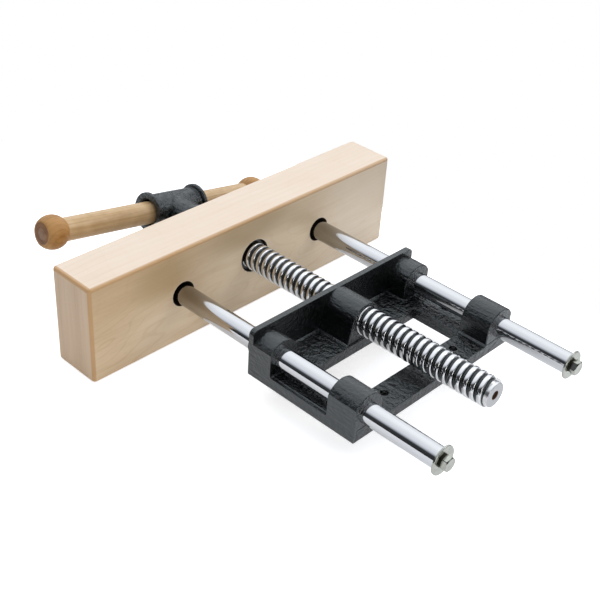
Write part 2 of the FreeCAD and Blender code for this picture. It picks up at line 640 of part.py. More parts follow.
for side, sign in (("left", "-"), ("right", "")):
    centre = f"{sign}{ROD_X}"
    rod = turned(f"guide_rod_{side}", [
        ("0", f"{ROD_FRONT} + rod_tap_depth"),
        (TAP_RADIUS, f"{ROD_FRONT} + rod_tap_depth"),
        (TAP_RADIUS, ROD_FRONT),
        ("rod_radius - rod_chamfer", ROD_FRONT),
        ("rod_radius", f"{ROD_FRONT} + rod_chamfer"),
        ("rod_radius", f"{ROD_REAR} - rod_chamfer"),
        ("rod_radius - rod_chamfer", ROD_REAR),
        (TAP_RADIUS, ROD_REAR),
        (TAP_RADIUS, f"{ROD_REAR} - rod_tap_depth"),
        ("0", f"{ROD_REAR} - rod_tap_depth"),
    ])
    keep(place(rod, centre, "0", "rod_height"), f"guide_rod_{side}")

    stop = ring(f"rod_stop_washer_{side}", "bolt_radius + washer_play", "stop_washer_radius",
                ROD_REAR, "washer_thickness")
    keep(place(stop, centre, "0", "rod_height"), f"rod_stop_washer_{side}")
    add_bolt(f"rod_stop_bolt_{side}", centre, f"{ROD_REAR} + washer_thickness", False)

    washer = ring(f"rod_front_washer_{side}", "bolt_radius + washer_play", "front_washer_radius",
                  f"{ROD_BOSS_FRONT} - washer_thickness", "washer_thickness")
    keep(place(washer, centre, "0", "rod_height"), f"rod_front_washer_{side}")
    add_bolt(f"rod_front_bolt_{side}", centre, f"{ROD_BOSS_FRONT} - washer_thickness", True)

# ---------------------------------------------------------------- lead screw and its collar

screw = turned("lead_screw", [
    ("0", SCREW_FRONT),
    ("spigot_radius", SCREW_FRONT),
    ("spigot_radius", HUB_SHOULDER),
    ("thread_radius", HUB_SHOULDER),
    ("thread_radius", COLLAR_GROOVE_FRONT),
    ("collar_groove_radius", COLLAR_GROOVE_FRONT),
    ("collar_groove_radius", f"{COLLAR_GROOVE_FRONT} + collar_groove_width"),
    ("thread_radius", f"{COLLAR_GROOVE_FRONT} + collar_groove_width"),
    ("thread_radius", THREAD_END),
    ("screw_land_radius", THREAD_END),
    ("screw_land_radius", f"{SCREW_REAR} - screw_end_chamfer"),
    ("screw_land_radius - screw_end_chamfer", SCREW_REAR),
    ("centre_hole_radius", SCREW_REAR),
    ("centre_hole_radius", f"{SCREW_REAR} - centre_hole_depth"),
    ("0", f"{SCREW_REAR} - centre_hole_depth"),
])
screw_pin_hole = circle(sketch_on(screw, "XY_Plane", "screw_pin_hole"), "0",
                        f"{HUB_CENTRE} + hub_pin_offset", "hub_pin_radius + hub_pin_play")
extrude(screw, "Pocket", screw_pin_hole, "2 * thread_radius", both_ways=True)
GROOVE_OUT = "(thread_radius + cutter_margin)"
CREST_HALF = f"(groove_crest_width + cutter_margin * {FLANK_SLOPE}) / 2"
thread = polygon(sketch_on(screw, "XY_Plane", "thread"), [
    ("thread_root_radius", f"{THREAD_START} - groove_root_width / 2"),
    (GROOVE_OUT, f"{THREAD_START} - {CREST_HALF}"),
    (GROOVE_OUT, f"{THREAD_START} + {CREST_HALF}"),
    ("thread_root_radius", f"{THREAD_START} + groove_root_width / 2"),
])
cut_helix(screw, thread, f"{THREAD_END} - {THREAD_START} + 0.75 * lead")
place(screw, z="screw_height")
keep(tilt_with_handle(screw), "lead_screw")

washer = ring("thrust_washer", "thread_radius + thrust_play", "thrust_washer_radius",
              SLEEVE_REAR, "washer_thickness")
keep(place(washer, z="screw_height"), "thrust_washer")

COLLAR_BORE = "collar_groove_radius + collar_play"
COLLAR_EASE = "collar_thickness / 3"
collar = turned("retaining_ring", [
    (COLLAR_BORE, COLLAR_FRONT),
    (f"collar_radius - {COLLAR_EASE}", COLLAR_FRONT),
    ("collar_radius", f"{COLLAR_FRONT} + {COLLAR_EASE}"),
    ("collar_radius", f"{COLLAR_FRONT} + 2 * {COLLAR_EASE}"),
    (f"collar_radius - {COLLAR_EASE}", f"{COLLAR_FRONT} + collar_thickness"),
    (COLLAR_BORE, f"{COLLAR_FRONT} + collar_thickness"),
])
split = rectangle(sketch_across(collar, "split", f"{COLLAR_FRONT} - cutter_margin"),
                  "-collar_gap / 2", "collar_gap / 2", "-collar_radius - cutter_margin", "0")
cut_along_y(collar, split, "collar_thickness + 2 * cutter_margin")
place(collar, z="screw_height")
keep(tilt_with_handle(collar), "retaining_ring")

# ---------------------------------------------------------------- hub, handle and knobs

# The hub's own frame has its origin where the handle crosses the screw axis.
hub = new_body("screw_hub")
neck = circle(sketch_across(hub, "neck"), "0", "0", "hub_neck_radius")
pad_along_y(hub, neck, f"{HUB_SHOULDER} - {HUB_CENTRE}")
EASE = "hub_flange_width / 5"
tube = polygon(sketch_on(hub, "XY_Plane", "cross_tube"), [
    ("-hub_half_length", "0"),
    ("-hub_half_length", f"hub_flange_radius - {EASE}"),
    (f"-hub_half_length + {EASE}", "hub_flange_radius"),
    (f"-hub_half_length + hub_flange_width - {EASE}", "hub_flange_radius"),
    ("-hub_half_length + hub_flange_width", f"hub_flange_radius - {EASE}"),
    ("-hub_half_length + hub_flange_width", "hub_radius"),
    ("hub_half_length - hub_flange_width", "hub_radius"),
    ("hub_half_length - hub_flange_width", f"hub_flange_radius - {EASE}"),
    (f"hub_half_length - hub_flange_width + {EASE}", "hub_flange_radius"),
    (f"hub_half_length - {EASE}", "hub_flange_radius"),
    ("hub_half_length", f"hub_flange_radius - {EASE}"),
    ("hub_half_length", "0"),
])
revolve(hub, tube, "H_Axis")
socket = circle(sketch_across(hub, "spigot_socket", f"{SCREW_FRONT} - {HUB_CENTRE}"),
                "0", "0", "spigot_radius + socket_clearance")
cut_along_y(hub, socket, "spigot_length + cutter_margin")
hub_pin_hole = circle(sketch_on(hub, "XY_Plane", "hub_pin_hole"), "0", "hub_pin_offset",
                      "hub_pin_radius + hub_pin_play")
extrude(hub, "Pocket", hub_pin_hole, "2 * (hub_neck_radius + cutter_margin)", both_ways=True)
bore = polygon(sketch_on(hub, "XY_Plane", "handle_bore"), [
    ("-hub_half_length", "0"),
    ("-hub_half_length", "hub_mouth_radius"),
    ("-hub_half_length + hub_mouth_depth", "hub_bore_radius"),
    ("hub_half_length - hub_mouth_depth", "hub_bore_radius"),
    ("hub_half_length", "hub_mouth_radius"),
    ("hub_half_length", "0"),
])
revolve(hub, bore, "H_Axis", "Groove")
place(hub, y=HUB_CENTRE, z="screw_height")
keep(tilt_with_handle(hub), "screw_hub")

PIN_HALF = "(hub_neck_radius - hub_pin_radius ^ 2 / hub_neck_radius / 2)"
pin = doc.addObject("Part::Cylinder", "cross_pin")
bind(pin, "Radius", "hub_pin_radius")
bind(pin, "Height", f"2 * {PIN_HALF}")
place(pin, f"{PIN_HALF} * sin(handle_tilt)", f"{HUB_CENTRE} + hub_pin_offset",
      f"screw_height - {PIN_HALF} * cos(handle_tilt)")
keep(tilt_with_handle(pin), "hub_pin")

HANDLE_SAG = "(hub_bore_radius - handle_radius - handle_gap)"
LEFT_KNOB = "(handle_shift - handle_span / 2)"
RIGHT_KNOB = "(handle_shift + handle_span / 2)"


def handle_place(item, along):
    """Bind an object's place to a distance along the handle's axis."""
    return place(item, f"{along} * cos(handle_tilt) + {HANDLE_SAG} * sin(handle_tilt)", HUB_CENTRE,
                 f"screw_height + {along} * sin(handle_tilt) - {HANDLE_SAG} * cos(handle_tilt)")


bar = new_body("handle_bar")
outline = polygon(sketch_on(bar, "XY_Plane", "bar_outline"), [
    (f"{LEFT_KNOB} - {KNOB_OUTER_FLAT}", "0"),
    (f"{LEFT_KNOB} - {KNOB_OUTER_FLAT}", "tenon_radius"),
    (f"{LEFT_KNOB} + {KNOB_INNER_FLAT}", "tenon_radius"),
    (f"{LEFT_KNOB} + {KNOB_INNER_FLAT}", "handle_radius"),
    (f"{RIGHT_KNOB} - {KNOB_INNER_FLAT}", "handle_radius"),
    (f"{RIGHT_KNOB} - {KNOB_INNER_FLAT}", "tenon_radius"),
    (f"{RIGHT_KNOB} + {KNOB_OUTER_FLAT}", "tenon_radius"),
    (f"{RIGHT_KNOB} + {KNOB_OUTER_FLAT}", "0"),
])
revolve(bar, outline, "H_Axis")
handle_place(bar, "0")
keep(tilt_with_handle(bar), "handle_bar")

# A knob is a ball cut flat on both sides; its own +Z points away from the hub.
for side, along, axis, angle in (("left", LEFT_KNOB, (0, -1, 0), "90 + handle_tilt"),
                                 ("right", RIGHT_KNOB, (0, 1, 0), "90 - handle_tilt")):
    ball = doc.addObject("Part::Sphere", f"knob_{side}_ball")
    bind(ball, "Radius", "knob_radius")
    bind(ball, "Angle1", f"-asin({KNOB_INNER_FLAT} / knob_radius)")
    bind(ball, "Angle2", f"asin({KNOB_OUTER_FLAT} / knob_radius)")
    hole = doc.addObject("Part::Cylinder", f"knob_{side}_hole")
    bind(hole, "Radius", "tenon_radius + tenon_play")
    bind(hole, "Height", "4 * knob_radius")
    place(hole, z="-2 * knob_radius")
    knob = doc.addObject("Part::Cut", f"knob_{side}")
    knob.Base = ball
    knob.Tool = hole
    handle_place(knob, along)
    keep(tilt_with_handle(knob, axis, angle), f"handle_knob_{side}")

# ---------------------------------------------------------------- checks and export

doc.recompute()
for item in doc.Objects:
    if "Invalid" in item.State or "Error" in item.State:
        raise RuntimeError(f"{item.Label} failed: {item.State}")
os.makedirs("parts", exist_ok=True)
for item in parts:
    shape = item.Shape
    if shape.isNull() or not shape.isValid():
        raise RuntimeError(f"{item.Label} has no valid shape")
    box = shape.BoundBox
    print(f"{item.Label}: {len(shape.Solids)} solid(s), {shape.Volume / 1000:.2f} cm3, "
          f"x {box.XMin:.1f}..{box.XMax:.1f}, y {box.YMin:.1f}..{box.YMax:.1f}, "
          f"z {box.ZMin:.1f}..{box.ZMax:.1f}")
    shape.exportStep(f"parts/{item.Label}.step")
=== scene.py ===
"""A cabinet-maker's front vise: finishes, turned and threaded pieces, studio and camera."""
import logging
import math
from dataclasses import dataclass, field
from enum import Enum
from typing import Any, Callable, Optional, Sequence, Union

import bmesh
import bpy
import numpy as np
from mathutils import Matrix, Vector


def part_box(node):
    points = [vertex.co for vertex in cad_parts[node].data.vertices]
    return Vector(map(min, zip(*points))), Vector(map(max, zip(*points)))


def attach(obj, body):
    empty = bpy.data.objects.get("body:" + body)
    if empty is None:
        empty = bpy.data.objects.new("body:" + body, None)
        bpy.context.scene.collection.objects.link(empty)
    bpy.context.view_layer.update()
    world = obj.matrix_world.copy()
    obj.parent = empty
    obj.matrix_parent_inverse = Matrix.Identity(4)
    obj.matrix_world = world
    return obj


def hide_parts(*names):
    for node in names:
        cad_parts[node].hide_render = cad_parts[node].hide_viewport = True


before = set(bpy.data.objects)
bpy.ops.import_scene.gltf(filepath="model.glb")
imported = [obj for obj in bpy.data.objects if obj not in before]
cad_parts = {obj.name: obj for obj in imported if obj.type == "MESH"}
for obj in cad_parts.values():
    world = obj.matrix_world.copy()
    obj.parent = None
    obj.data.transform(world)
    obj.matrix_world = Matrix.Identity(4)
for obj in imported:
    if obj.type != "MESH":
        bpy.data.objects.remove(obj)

LOG = logging.getLogger("front_vise")
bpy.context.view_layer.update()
Colour = tuple[float, float, float]
Point = tuple[float, float, float]
Span = tuple[float, float]
MM = 0.001


# ------------------------------------------------------------------ shader maths

def operator(operation: str, turned: bool = False) -> Callable[["Shade", "Number"], "Shade"]:
    """A method of Shade that adds one Math node.

    Args:
        operation: Blender's name for the operation.
        turned: whether the other value comes first, as in 1 - mask.

    Returns:
        The method.
    """
    def apply(shade: "Shade", other: "Number") -> "Shade":
        """Join a shade and another value."""
        values = (other, shade) if turned else (shade, other)
        return shade.sheet.math(operation, *values)
    return apply


class Shade:
    """A shader socket that takes part in Python arithmetic."""

    __add__, __radd__ = operator("ADD"), operator("ADD", True)
    __sub__, __rsub__ = operator("SUBTRACT"), operator("SUBTRACT", True)
    __mul__, __rmul__ = operator("MULTIPLY"), operator("MULTIPLY", True)
    __truediv__, __rtruediv__ = operator("DIVIDE"), operator("DIVIDE", True)
    __pow__, higher = operator("POWER"), operator("MAXIMUM")

    def __init__(self, sheet: "NodeSheet", socket: bpy.types.NodeSocket) -> None:
        """Wrap one output socket of a node in a sheet."""
        self.sheet = sheet
        self.socket = socket

    def __abs__(self) -> "Shade":
        """Absolute value."""
        return self.sheet.math("ABSOLUTE", self)

    def sin(self) -> "Shade":
        """Sine of an angle in radians."""
        return self.sheet.math("SINE", self)

    def sqrt(self) -> "Shade":
        """Square root."""
        return self.sheet.math("SQRT", self)

    def ramp(self, low: float, high: float, to_low: float = 0.0, to_high: float = 1.0) -> "Shade":
        """Go smoothly from one value to another.

        Args:
            low: input where the change starts.
            high: input where the change ends.
            to_low: result at and below low.
            to_high: result at and above high.

        Returns:
            The eased value.
        """
        ends = {"From Min": low, "From Max": high, "To Min": to_low, "To Max": to_high}
        node = self.sheet.node("ShaderNodeMapRange", {"interpolation_type": "SMOOTHSTEP"},
                               {"Value": self, **ends})
        return Shade(self.sheet, node.outputs["Result"])


Number = Union[float, Shade]
Place = tuple[Shade, Shade, Shade]


@dataclass(frozen=True)
class Grain:
    """One kind of noise: how many times finer than a metre it is, and its finer layers.

    The scale is one number, or three for a noise that is drawn out along an axis.
    """

    scale: Union[float, Point]
    detail: float = 2.0
    roughness: float = 0.5


def hypotenuse(first: Shade, second: Shade) -> Shade:
    """The root of the sum of two squares."""
    return (first ** 2.0 + second ** 2.0).sqrt()


def growth(radius: Shade, ring: float) -> Shade:
    """Growth rings round a pith, as (1 + sin(2 pi radius / ring)) / 2."""
    return (radius * (2 * math.pi / ring)).sin() * 0.5 + 0.5


class NodeSheet:
    """The node tree of one material, world or lamp."""

    def __init__(self, tree: bpy.types.NodeTree) -> None:
        """Take over a node tree and empty it."""
        self.tree = tree
        tree.nodes.clear()

    def node(self, kind: str, settings: Optional[dict[str, Any]] = None,
             inputs: Optional[dict[Any, Any]] = None) -> bpy.types.Node:
        """Add one node.

        Args:
            kind: Blender's name for the node type.
            settings: properties set before the sockets; "stops" sets a colour ramp's stops.
            inputs: socket name or number to a plain value, a socket or a Shade.

        Returns:
            The new node.
        """
        made = self.tree.nodes.new(kind)
        for name, value in (settings or {}).items():
            if name == "stops":
                ramp = made.color_ramp
                while len(ramp.elements) < len(value):
                    ramp.elements.new(0.5)
                for element, (place, colour) in zip(ramp.elements, value):
                    element.position = place
                    element.color = (*colour, 1.0)
            else:
                setattr(made, name, value)
        for key, value in (inputs or {}).items():
            self.feed(made.inputs[key], value)
        return made

    def feed(self, socket: bpy.types.NodeSocket, value: Any) -> None:
        """Link a socket or set its plain value.

        Args:
            socket: the input to feed.
            value: a Shade or an output to link, or a plain value. A colour has three parts.
        """
        if isinstance(value, Shade):
            self.tree.links.new(value.socket, socket)
        elif isinstance(value, bpy.types.NodeSocket):
            self.tree.links.new(value, socket)
        elif isinstance(value, tuple) and len(value) == 3 and socket.type == "RGBA":
            socket.default_value = (*value, 1.0)
        else:
            socket.default_value = value

    def math(self, operation: str, *values: Number) -> Shade:
        """Add one Math node over one or two values."""
        return Shade(self, self.node("ShaderNodeMath", {"operation": operation},
                                     dict(enumerate(values))).outputs[0])

    def place(self) -> Place:
        """Read the object coordinates.

        Returns:
            x, y and z in metres.
        """
        where = self.node("ShaderNodeTexCoord").outputs["Object"]
        parts = self.node("ShaderNodeSeparateXYZ", inputs={"Vector": where}).outputs
        return Shade(self, parts["X"]), Shade(self, parts["Y"]), Shade(self, parts["Z"])

    def vector(self, x: Number, y: Number, z: Number) -> bpy.types.NodeSocket:
        """Join three values into a vector."""
        return self.node("ShaderNodeCombineXYZ", inputs={0: x, 1: y, 2: z}).outputs[0]

    def noise(self, place: Place, grain: Grain) -> Shade:
        """Smooth noise at a place.

        Args:
            place: the three coordinates.
            grain: the kind of noise.

        Returns:
            The noise, from 0 to 1.
        """
        scale = grain.scale
        if isinstance(scale, tuple):
            place = tuple(part * times for part, times in zip(place, scale))
            scale = 1.0
        node = self.node("ShaderNodeTexNoise", {"noise_dimensions": "3D"},
                         {"Vector": self.vector(*place), "Scale": scale, "Detail": grain.detail,
                          "Roughness": grain.roughness})
        return Shade(self, node.outputs[0])

    def mix(self, share: Number, first: Any, second: Any) -> bpy.types.NodeSocket:
        """Mix two colours.

        Args:
            share: share of the second colour, cut to 0..1.
            first: the colour at 0.
            second: the colour at 1.

        Returns:
            The mixed colour.
        """
        node = self.node("ShaderNodeMix", {"data_type": "RGBA", "clamp_factor": True},
                         {0: share, 6: first, 7: second})
        return node.outputs[2]

    def bump(self, height: Shade, distance: float, strength: float = 1.0) -> bpy.types.NodeSocket:
        """Tilt the surface normal by a height.

        Args:
            height: the height, in units of the distance.
            distance: that unit, in metres.
            strength: share of the tilt that shows.

        Returns:
            The normal.
        """
        node = self.node("ShaderNodeBump", inputs={"Height": height, "Distance": distance,
                                                   "Strength": strength})
        return node.outputs["Normal"]

    def surface(self, inputs: dict[str, Any]) -> None:
        """Finish a material with a Principled shader."""
        shader = self.node("ShaderNodeBsdfPrincipled", inputs=inputs)
        self.node("ShaderNodeOutputMaterial", inputs={"Surface": shader.outputs[0]})


def material_sheet(name: str) -> tuple[bpy.types.Material, NodeSheet]:
    """Start an empty node material.

    Args:
        name: the material's name.

    Returns:
        The material and the sheet of its nodes.
    """
    material = bpy.data.materials.new(name)
    material.use_nodes = True
    return material, NodeSheet(material.node_tree)


# ------------------------------------------------------------------ finishes

class Side(Enum):
    """The two guide rods, by the sign of their place along the jaw."""

    LEFT = -1
    RIGHT = 1

    @property
    def word(self) -> str:
        """The side's name, as node names carry it."""
        return self.name.lower()


@dataclass(frozen=True)
class Extent:
    """The box round a solid of the frame, in millimetres."""

    low: tuple[float, ...]
    high: tuple[float, ...]

    @classmethod
    def of(cls, node: str) -> "Extent":
        """Measure a solid."""
        low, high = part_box(node)
        return cls(tuple(value / MM for value in low), tuple(value / MM for value in high))

    @property
    def middle(self) -> tuple[float, ...]:
        """The box's centre."""
        return tuple((a + b) / 2 for a, b in zip(self.low, self.high))

    @property
    def half(self) -> tuple[float, ...]:
        """Half the box's sizes."""
        return tuple((b - a) / 2 for a, b in zip(self.low, self.high))


@dataclass(frozen=True)
class JawWood:
    """Planed pale hardwood with fibres along the jaw, with painted light and painted shade on it,
    and rounded edges toned partly by painted shade.

    The growth rings are circles round a pith line parallel to X, so they show as fine lines on
    the top, as a flat figure on the faces and as upright lines on the ends. Each tone comes with
    a second one for its late growth. A span is the pair of places, in metres, between which a
    zone of the wood fades.
    """

    extent: Extent
    name: str = "jaw_hardwood"
    # tones of the plain wood, painted light on its top, over its middle and towards -X, and of its
    # ends
    pale: Colour = (0.69, 0.49, 0.285)
    late: Colour = (0.56, 0.365, 0.185)
    painted_top_light: Colour = (0.865, 0.715, 0.575)
    painted_top_light_late: Colour = (0.73, 0.53, 0.34)
    painted_middle_light: Colour = (0.90, 0.73, 0.52)
    painted_middle_light_late: Colour = (0.79, 0.585, 0.365)
    painted_left_light: Colour = (0.92, 0.77, 0.60)
    painted_left_light_late: Colour = (0.82, 0.64, 0.44)
    end: Colour = (0.72, 0.52, 0.34)
    end_late: Colour = (0.58, 0.385, 0.22)
    # tones of the painted shade spots, the edges (the wood's own tone with painted shade) and the
    # painted shade inside the bores
    painted_shade: Colour = (0.50, 0.34, 0.165)
    edge: Colour = (0.60, 0.335, 0.135)
    painted_bore_shade: Colour = (0.045, 0.032, 0.020)
    # spans along X and Z of the painted light over the middle, its lower part and towards -X
    painted_middle_light_x: Span = (0.02, 0.12)
    painted_middle_light_z: Span = (0.030, 0.065)
    painted_low_light_x: Span = (0.12, 0.19)
    painted_low_light_z: Span = (0.010, 0.050)
    painted_left_light_x: Span = (-0.15, -0.07)
    # x, z, half width, half height and strength of each painted shade spot; x, z and radius of
    # each bore
    painted_shade_spots: tuple[tuple[float, ...], ...] = ((0.120, 0.052, 0.040, 0.026, 0.60),
                                            (0.010, 0.066, 0.065, 0.023, 0.58))
    bores: tuple[Point, ...] = ((-0.09425, 0.0255, 0.0132), (0.09425, 0.0255, 0.0132),
                                (0.0, 0.0306, 0.0179))
    # how far the edge tone and its painted shade reach in, in millimetres, on long and upright
    # edges and on end edges
    corner: float = 3.3
    end_corner: float = 3.9
    edge_strength: float = 0.85
    # place of the pith, distance between rings and how far they wander, in metres
    pith_y: float = -0.72
    pith_z: float = 0.16
    ring: float = 0.0075
    wander: float = 0.030
    # noise of the fibres, streaks, wandering rings, mottling, flecks and flame lines
    fibre: Grain = Grain((24.0, 700.0, 700.0), 3.0, 0.6)
    streak: Grain = Grain((7.0, 130.0, 130.0))
    bend: Grain = Grain((5.0, 9.0, 12.0))
    mottle: Grain = Grain((16.0, 24.0, 30.0), 3.0)
    fleck: Grain = Grain((190.0, 900.0, 900.0), 1.0)
    swirl: Grain = Grain(1.0, 1.0)
    # noise of the upright lines and the bands on the ends
    upright: Grain = Grain((20.0, 420.0, 16.0), 3.0, 0.65)
    bands: Grain = Grain((1.0, 70.0, 3.0))

    def build(self) -> bpy.types.Material:
        """Make the material.

        Returns:
            The material.
        """
        material, sheet = material_sheet(self.name)
        place = sheet.place()
        fibre = sheet.noise(place, self.fibre)
        streak = sheet.noise(place, self.streak)
        colour = self.faces(sheet, place, self.late_share(sheet, place, fibre, streak))
        colour = self.with_end_grain(sheet, place, colour)
        # edge tone: partly the wood's own, partly painted shade of a wider rounding
        colour = sheet.mix(self.edge_share(place) * self.edge_strength, colour, self.edge)
        colour = self.with_bores(sheet, place, colour)
        sheet.surface({"Base Color": colour, "Roughness": 0.40 + fibre * 0.14,
                       "Coat Weight": 0.15, "Coat Roughness": 0.3,
                       "Normal": sheet.bump(fibre * 0.6 + streak * 0.4, 0.00016, 0.3)})
        return material

    def late_share(self, sheet: NodeSheet, place: Place, fibre: Shade, streak: Shade) -> Shade:
        """Share of late growth, from rings, fibres, streaks, mottling, flecks and flame lines.

        Args:
            sheet: the material's sheet.
            place: the three coordinates.
            fibre: fine lines along the jaw.
            streak: broad lines along the jaw.

        Returns:
            About 0 in early and 1 in late growth.
        """
        x, y, z = place
        bend = sheet.noise(place, self.bend)
        radius = hypotenuse(y - self.pith_y, z - self.pith_z) + bend * self.wander
        mottle = sheet.noise(place, self.mottle)
        fleck = sheet.noise(place, self.fleck).ramp(0.62, 0.72)
        share = (growth(radius, self.ring) ** 4.0) * 0.22 + (fibre - 0.5) * 0.9
        share = share + (streak - 0.5) * 0.7 + (mottle - 0.5) * 0.9 + fleck * 0.22 + 0.20
        swirl = sheet.noise((x * 5.5 - z * 9.0, y * 6.0, z * 26.0 + x * 6.0), self.swirl)
        flame = (swirl * 62.0).sin().ramp(0.82, 1.0)
        return share + flame * z.ramp(0.0, 0.07, 1.0, 0.25) * 0.38

    def faces(self, sheet: NodeSheet, place: Place, share: Shade) -> bpy.types.NodeSocket:
        """Colour of the faces and the top, with painted light on the top, over the middle and
        towards -X, and painted shade in spots.

        Args:
            sheet: the material's sheet.
            place: the three coordinates.
            share: share of late growth.

        Returns:
            The colour, which runs on over ends and edges.
        """
        x, _, z = place
        colour = sheet.mix(share, self.pale, self.late)
        # painted light over the middle of the face and its lower part
        painted_low_light = z.ramp(*self.painted_low_light_z, 0.75, 0.0) * x.ramp(*self.painted_low_light_x, 1.0, 0.3)
        middle = x.ramp(*self.painted_middle_light_x, 1.0, 0.0) * z.ramp(*self.painted_middle_light_z, 1.0, 0.72)
        painted_middle_light = sheet.mix(share * 0.9, self.painted_middle_light, self.painted_middle_light_late)
        colour = sheet.mix(middle.higher(painted_low_light), colour, painted_middle_light)
        # painted light towards -X
        left_light = sheet.mix(share * 0.7, self.painted_left_light, self.painted_left_light_late)
        colour = sheet.mix(x.ramp(*self.painted_left_light_x, 1.0, 0.0), colour, left_light)
        # painted shade in spots
        for spot_x, spot_z, half_x, half_z, strength in self.painted_shade_spots:
            off_spot = hypotenuse((x - spot_x) / half_x, (z - spot_z) / half_z)
            colour = sheet.mix(off_spot.ramp(0.3, 1.2, strength, 0.0), colour, self.painted_shade)
        # painted light on the top
        painted_top_light = sheet.mix(share * 0.5, self.painted_top_light, self.painted_top_light_late)
        return sheet.mix(self.on_side(z, self.extent.high[2]), colour, painted_top_light)

    def with_end_grain(self, sheet: NodeSheet, place: Place,
                       colour: bpy.types.NodeSocket) -> bpy.types.NodeSocket:
        """Lay upright lines and bands over a colour, on both ends of the jaw.

        Args:
            sheet: the material's sheet.
            place: the three coordinates.
            colour: the colour elsewhere.

        Returns:
            The colour with end grain.
        """
        upright = sheet.noise(place, self.upright)
        bands = sheet.noise(place, self.bands)
        share = (upright - 0.5) * 1.1 + (bands - 0.5) * 1.2 + 0.35
        end_grain = sheet.mix(share, self.end, self.end_late)
        return sheet.mix(self.on_side(abs(place[0]), self.extent.high[0]), colour, end_grain)

    def edge_share(self, place: Place) -> Shade:
        """How far a place lies on an edge toned partly by the wood and partly by painted shade.

        Upright and long edges are toned on the jaw's inner side, and end edges towards +X. All
        but the upright ones fade towards the bottom.

        Args:
            place: the three coordinates.

        Returns:
            0 off the edges, 1 on them.
        """
        x, y, z = place
        along, through, upward = (
            abs(value - middle * MM) - half * MM
            for value, middle, half in zip(place, self.extent.middle, self.extent.half))
        middle = self.extent.middle[1]
        inner = y.ramp((middle - 1.0) * MM, (middle + 1.0) * MM)
        upright = self.rim(along, self.corner) * self.rim(through, self.corner) * inner
        long = self.rim(upward, self.corner) * self.rim(through, self.corner) * inner
        end = self.rim(upward, self.end_corner) * self.rim(along, self.end_corner)
        faded = z.ramp(self.extent.low[2] * MM, self.extent.high[2] * MM, 0.3, 1.0)
        return upright.higher((end * x.ramp(-0.1, 0.1)).higher(long * 0.8) * faded)

    def with_bores(self, sheet: NodeSheet, place: Place,
                   colour: bpy.types.NodeSocket) -> bpy.types.NodeSocket:
        """Lay a painted highlight round each bore and painted shade inside it over a colour.

        Args:
            sheet: the material's sheet.
            place: the three coordinates.
            colour: the colour elsewhere.

        Returns:
            The colour with bores.
        """
        x, _, z = place
        for bore_x, bore_z, radius in self.bores:
            off_axis = hypotenuse(x - bore_x, z - bore_z)
            # painted highlight round the rim and painted shade inside the bore
            rim = off_axis.ramp(radius + 0.0004, radius + 0.0012, 0.55, 0.0)
            inside = off_axis.ramp(radius + 0.0001, radius + 0.0003, 1.0, 0.0)
            colour = sheet.mix(inside, sheet.mix(rim, colour, self.painted_left_light), self.painted_bore_shade)
        return colour

    @staticmethod
    def on_side(value: Shade, side: float) -> Shade:
        """1 on the side of the box at a place in millimetres, 0 from 0.3 mm inside it."""
        return value.ramp((side - 0.3) * MM, (side - 0.05) * MM)

    @staticmethod
    def rim(beyond: Shade, reach: float) -> Shade:
        """How far a place lies into the strip along one side of the box.

        Args:
            beyond: distance from the side, in metres, negative inside the box.
            reach: how far in the strip reaches, in millimetres.

        Returns:
            0 on the flat, 1 a fifth of the reach farther on.
        """
        return beyond.ramp(-reach * 1.02 * MM, -reach * 0.82 * MM)


@dataclass(frozen=True)
class TurnedWood:
    """Oiled hardwood turned round, with fibres along the handle's own axis.

    The growth rings are circles round a pith line parallel to that axis. The tilt is in degrees,
    and places are in metres: the hub's centre, the bar's middle and the start of its end tone
    along the axis, and the pith off it.
    """

    name: str
    pale: Colour
    dark: Colour
    gloss: float
    coat: float
    tilt: float
    hub: Point
    middle: float
    end_from: float
    end: Colour = (0.21, 0.085, 0.030)
    end_radius: Span = (0.0105, 0.0118)
    pith: Span = (-0.05, 0.02)
    ring: float = 0.0036
    wander: float = 0.006
    # noise of the wandering rings, the fibres, the streaks and the clouds
    slow: Grain = Grain((7.0, 30.0, 30.0))
    fibre: Grain = Grain((26.0, 900.0, 900.0), 3.0, 0.6)
    streak: Grain = Grain((9.0, 160.0, 160.0))
    cloud: Grain = Grain(90.0)

    def build(self) -> bpy.types.Material:
        """Make the material.

        Returns:
            The material.
        """
        material, sheet = material_sheet(self.name)
        x, y, z = sheet.place()
        turn = math.radians(self.tilt)
        rise = z - self.hub[2]
        along = x * math.cos(turn) + rise * math.sin(turn)
        across = rise * math.cos(turn) - x * math.sin(turn)
        fore = y - self.hub[1]
        turned = (along, fore, across)
        slow = sheet.noise(turned, self.slow)
        radius = hypotenuse(fore - self.pith[0], across - self.pith[1]) + slow * self.wander
        fibre = sheet.noise(turned, self.fibre)
        streak = sheet.noise(turned, self.streak)
        cloud = sheet.noise((x, y, z), self.cloud)
        share = (growth(radius, self.ring) ** 3.0) * 0.25 + (fibre - 0.5) * 1.0
        share = share + (streak - 0.5) * 1.4 + (cloud - 0.5) * 0.9 + 0.25
        colour = sheet.mix(share, self.pale, self.dark)
        on_end = abs(along - self.middle).ramp(self.end_from, self.end_from + 0.0004)
        on_end = on_end * hypotenuse(fore, across).ramp(*self.end_radius, 1.0, 0.0)
        colour = sheet.mix(on_end * (0.95 + (cloud - 0.5) * 1.0), colour, self.end)
        sheet.surface({"Base Color": colour, "Roughness": self.gloss + fibre * 0.12,
                       "Specular IOR Level": 0.35, "Coat Weight": self.coat,
                       "Coat Roughness": 0.15,
                       "Normal": sheet.bump(fibre * 0.6 + streak * 0.4, 0.00014, 0.25)})
        return material


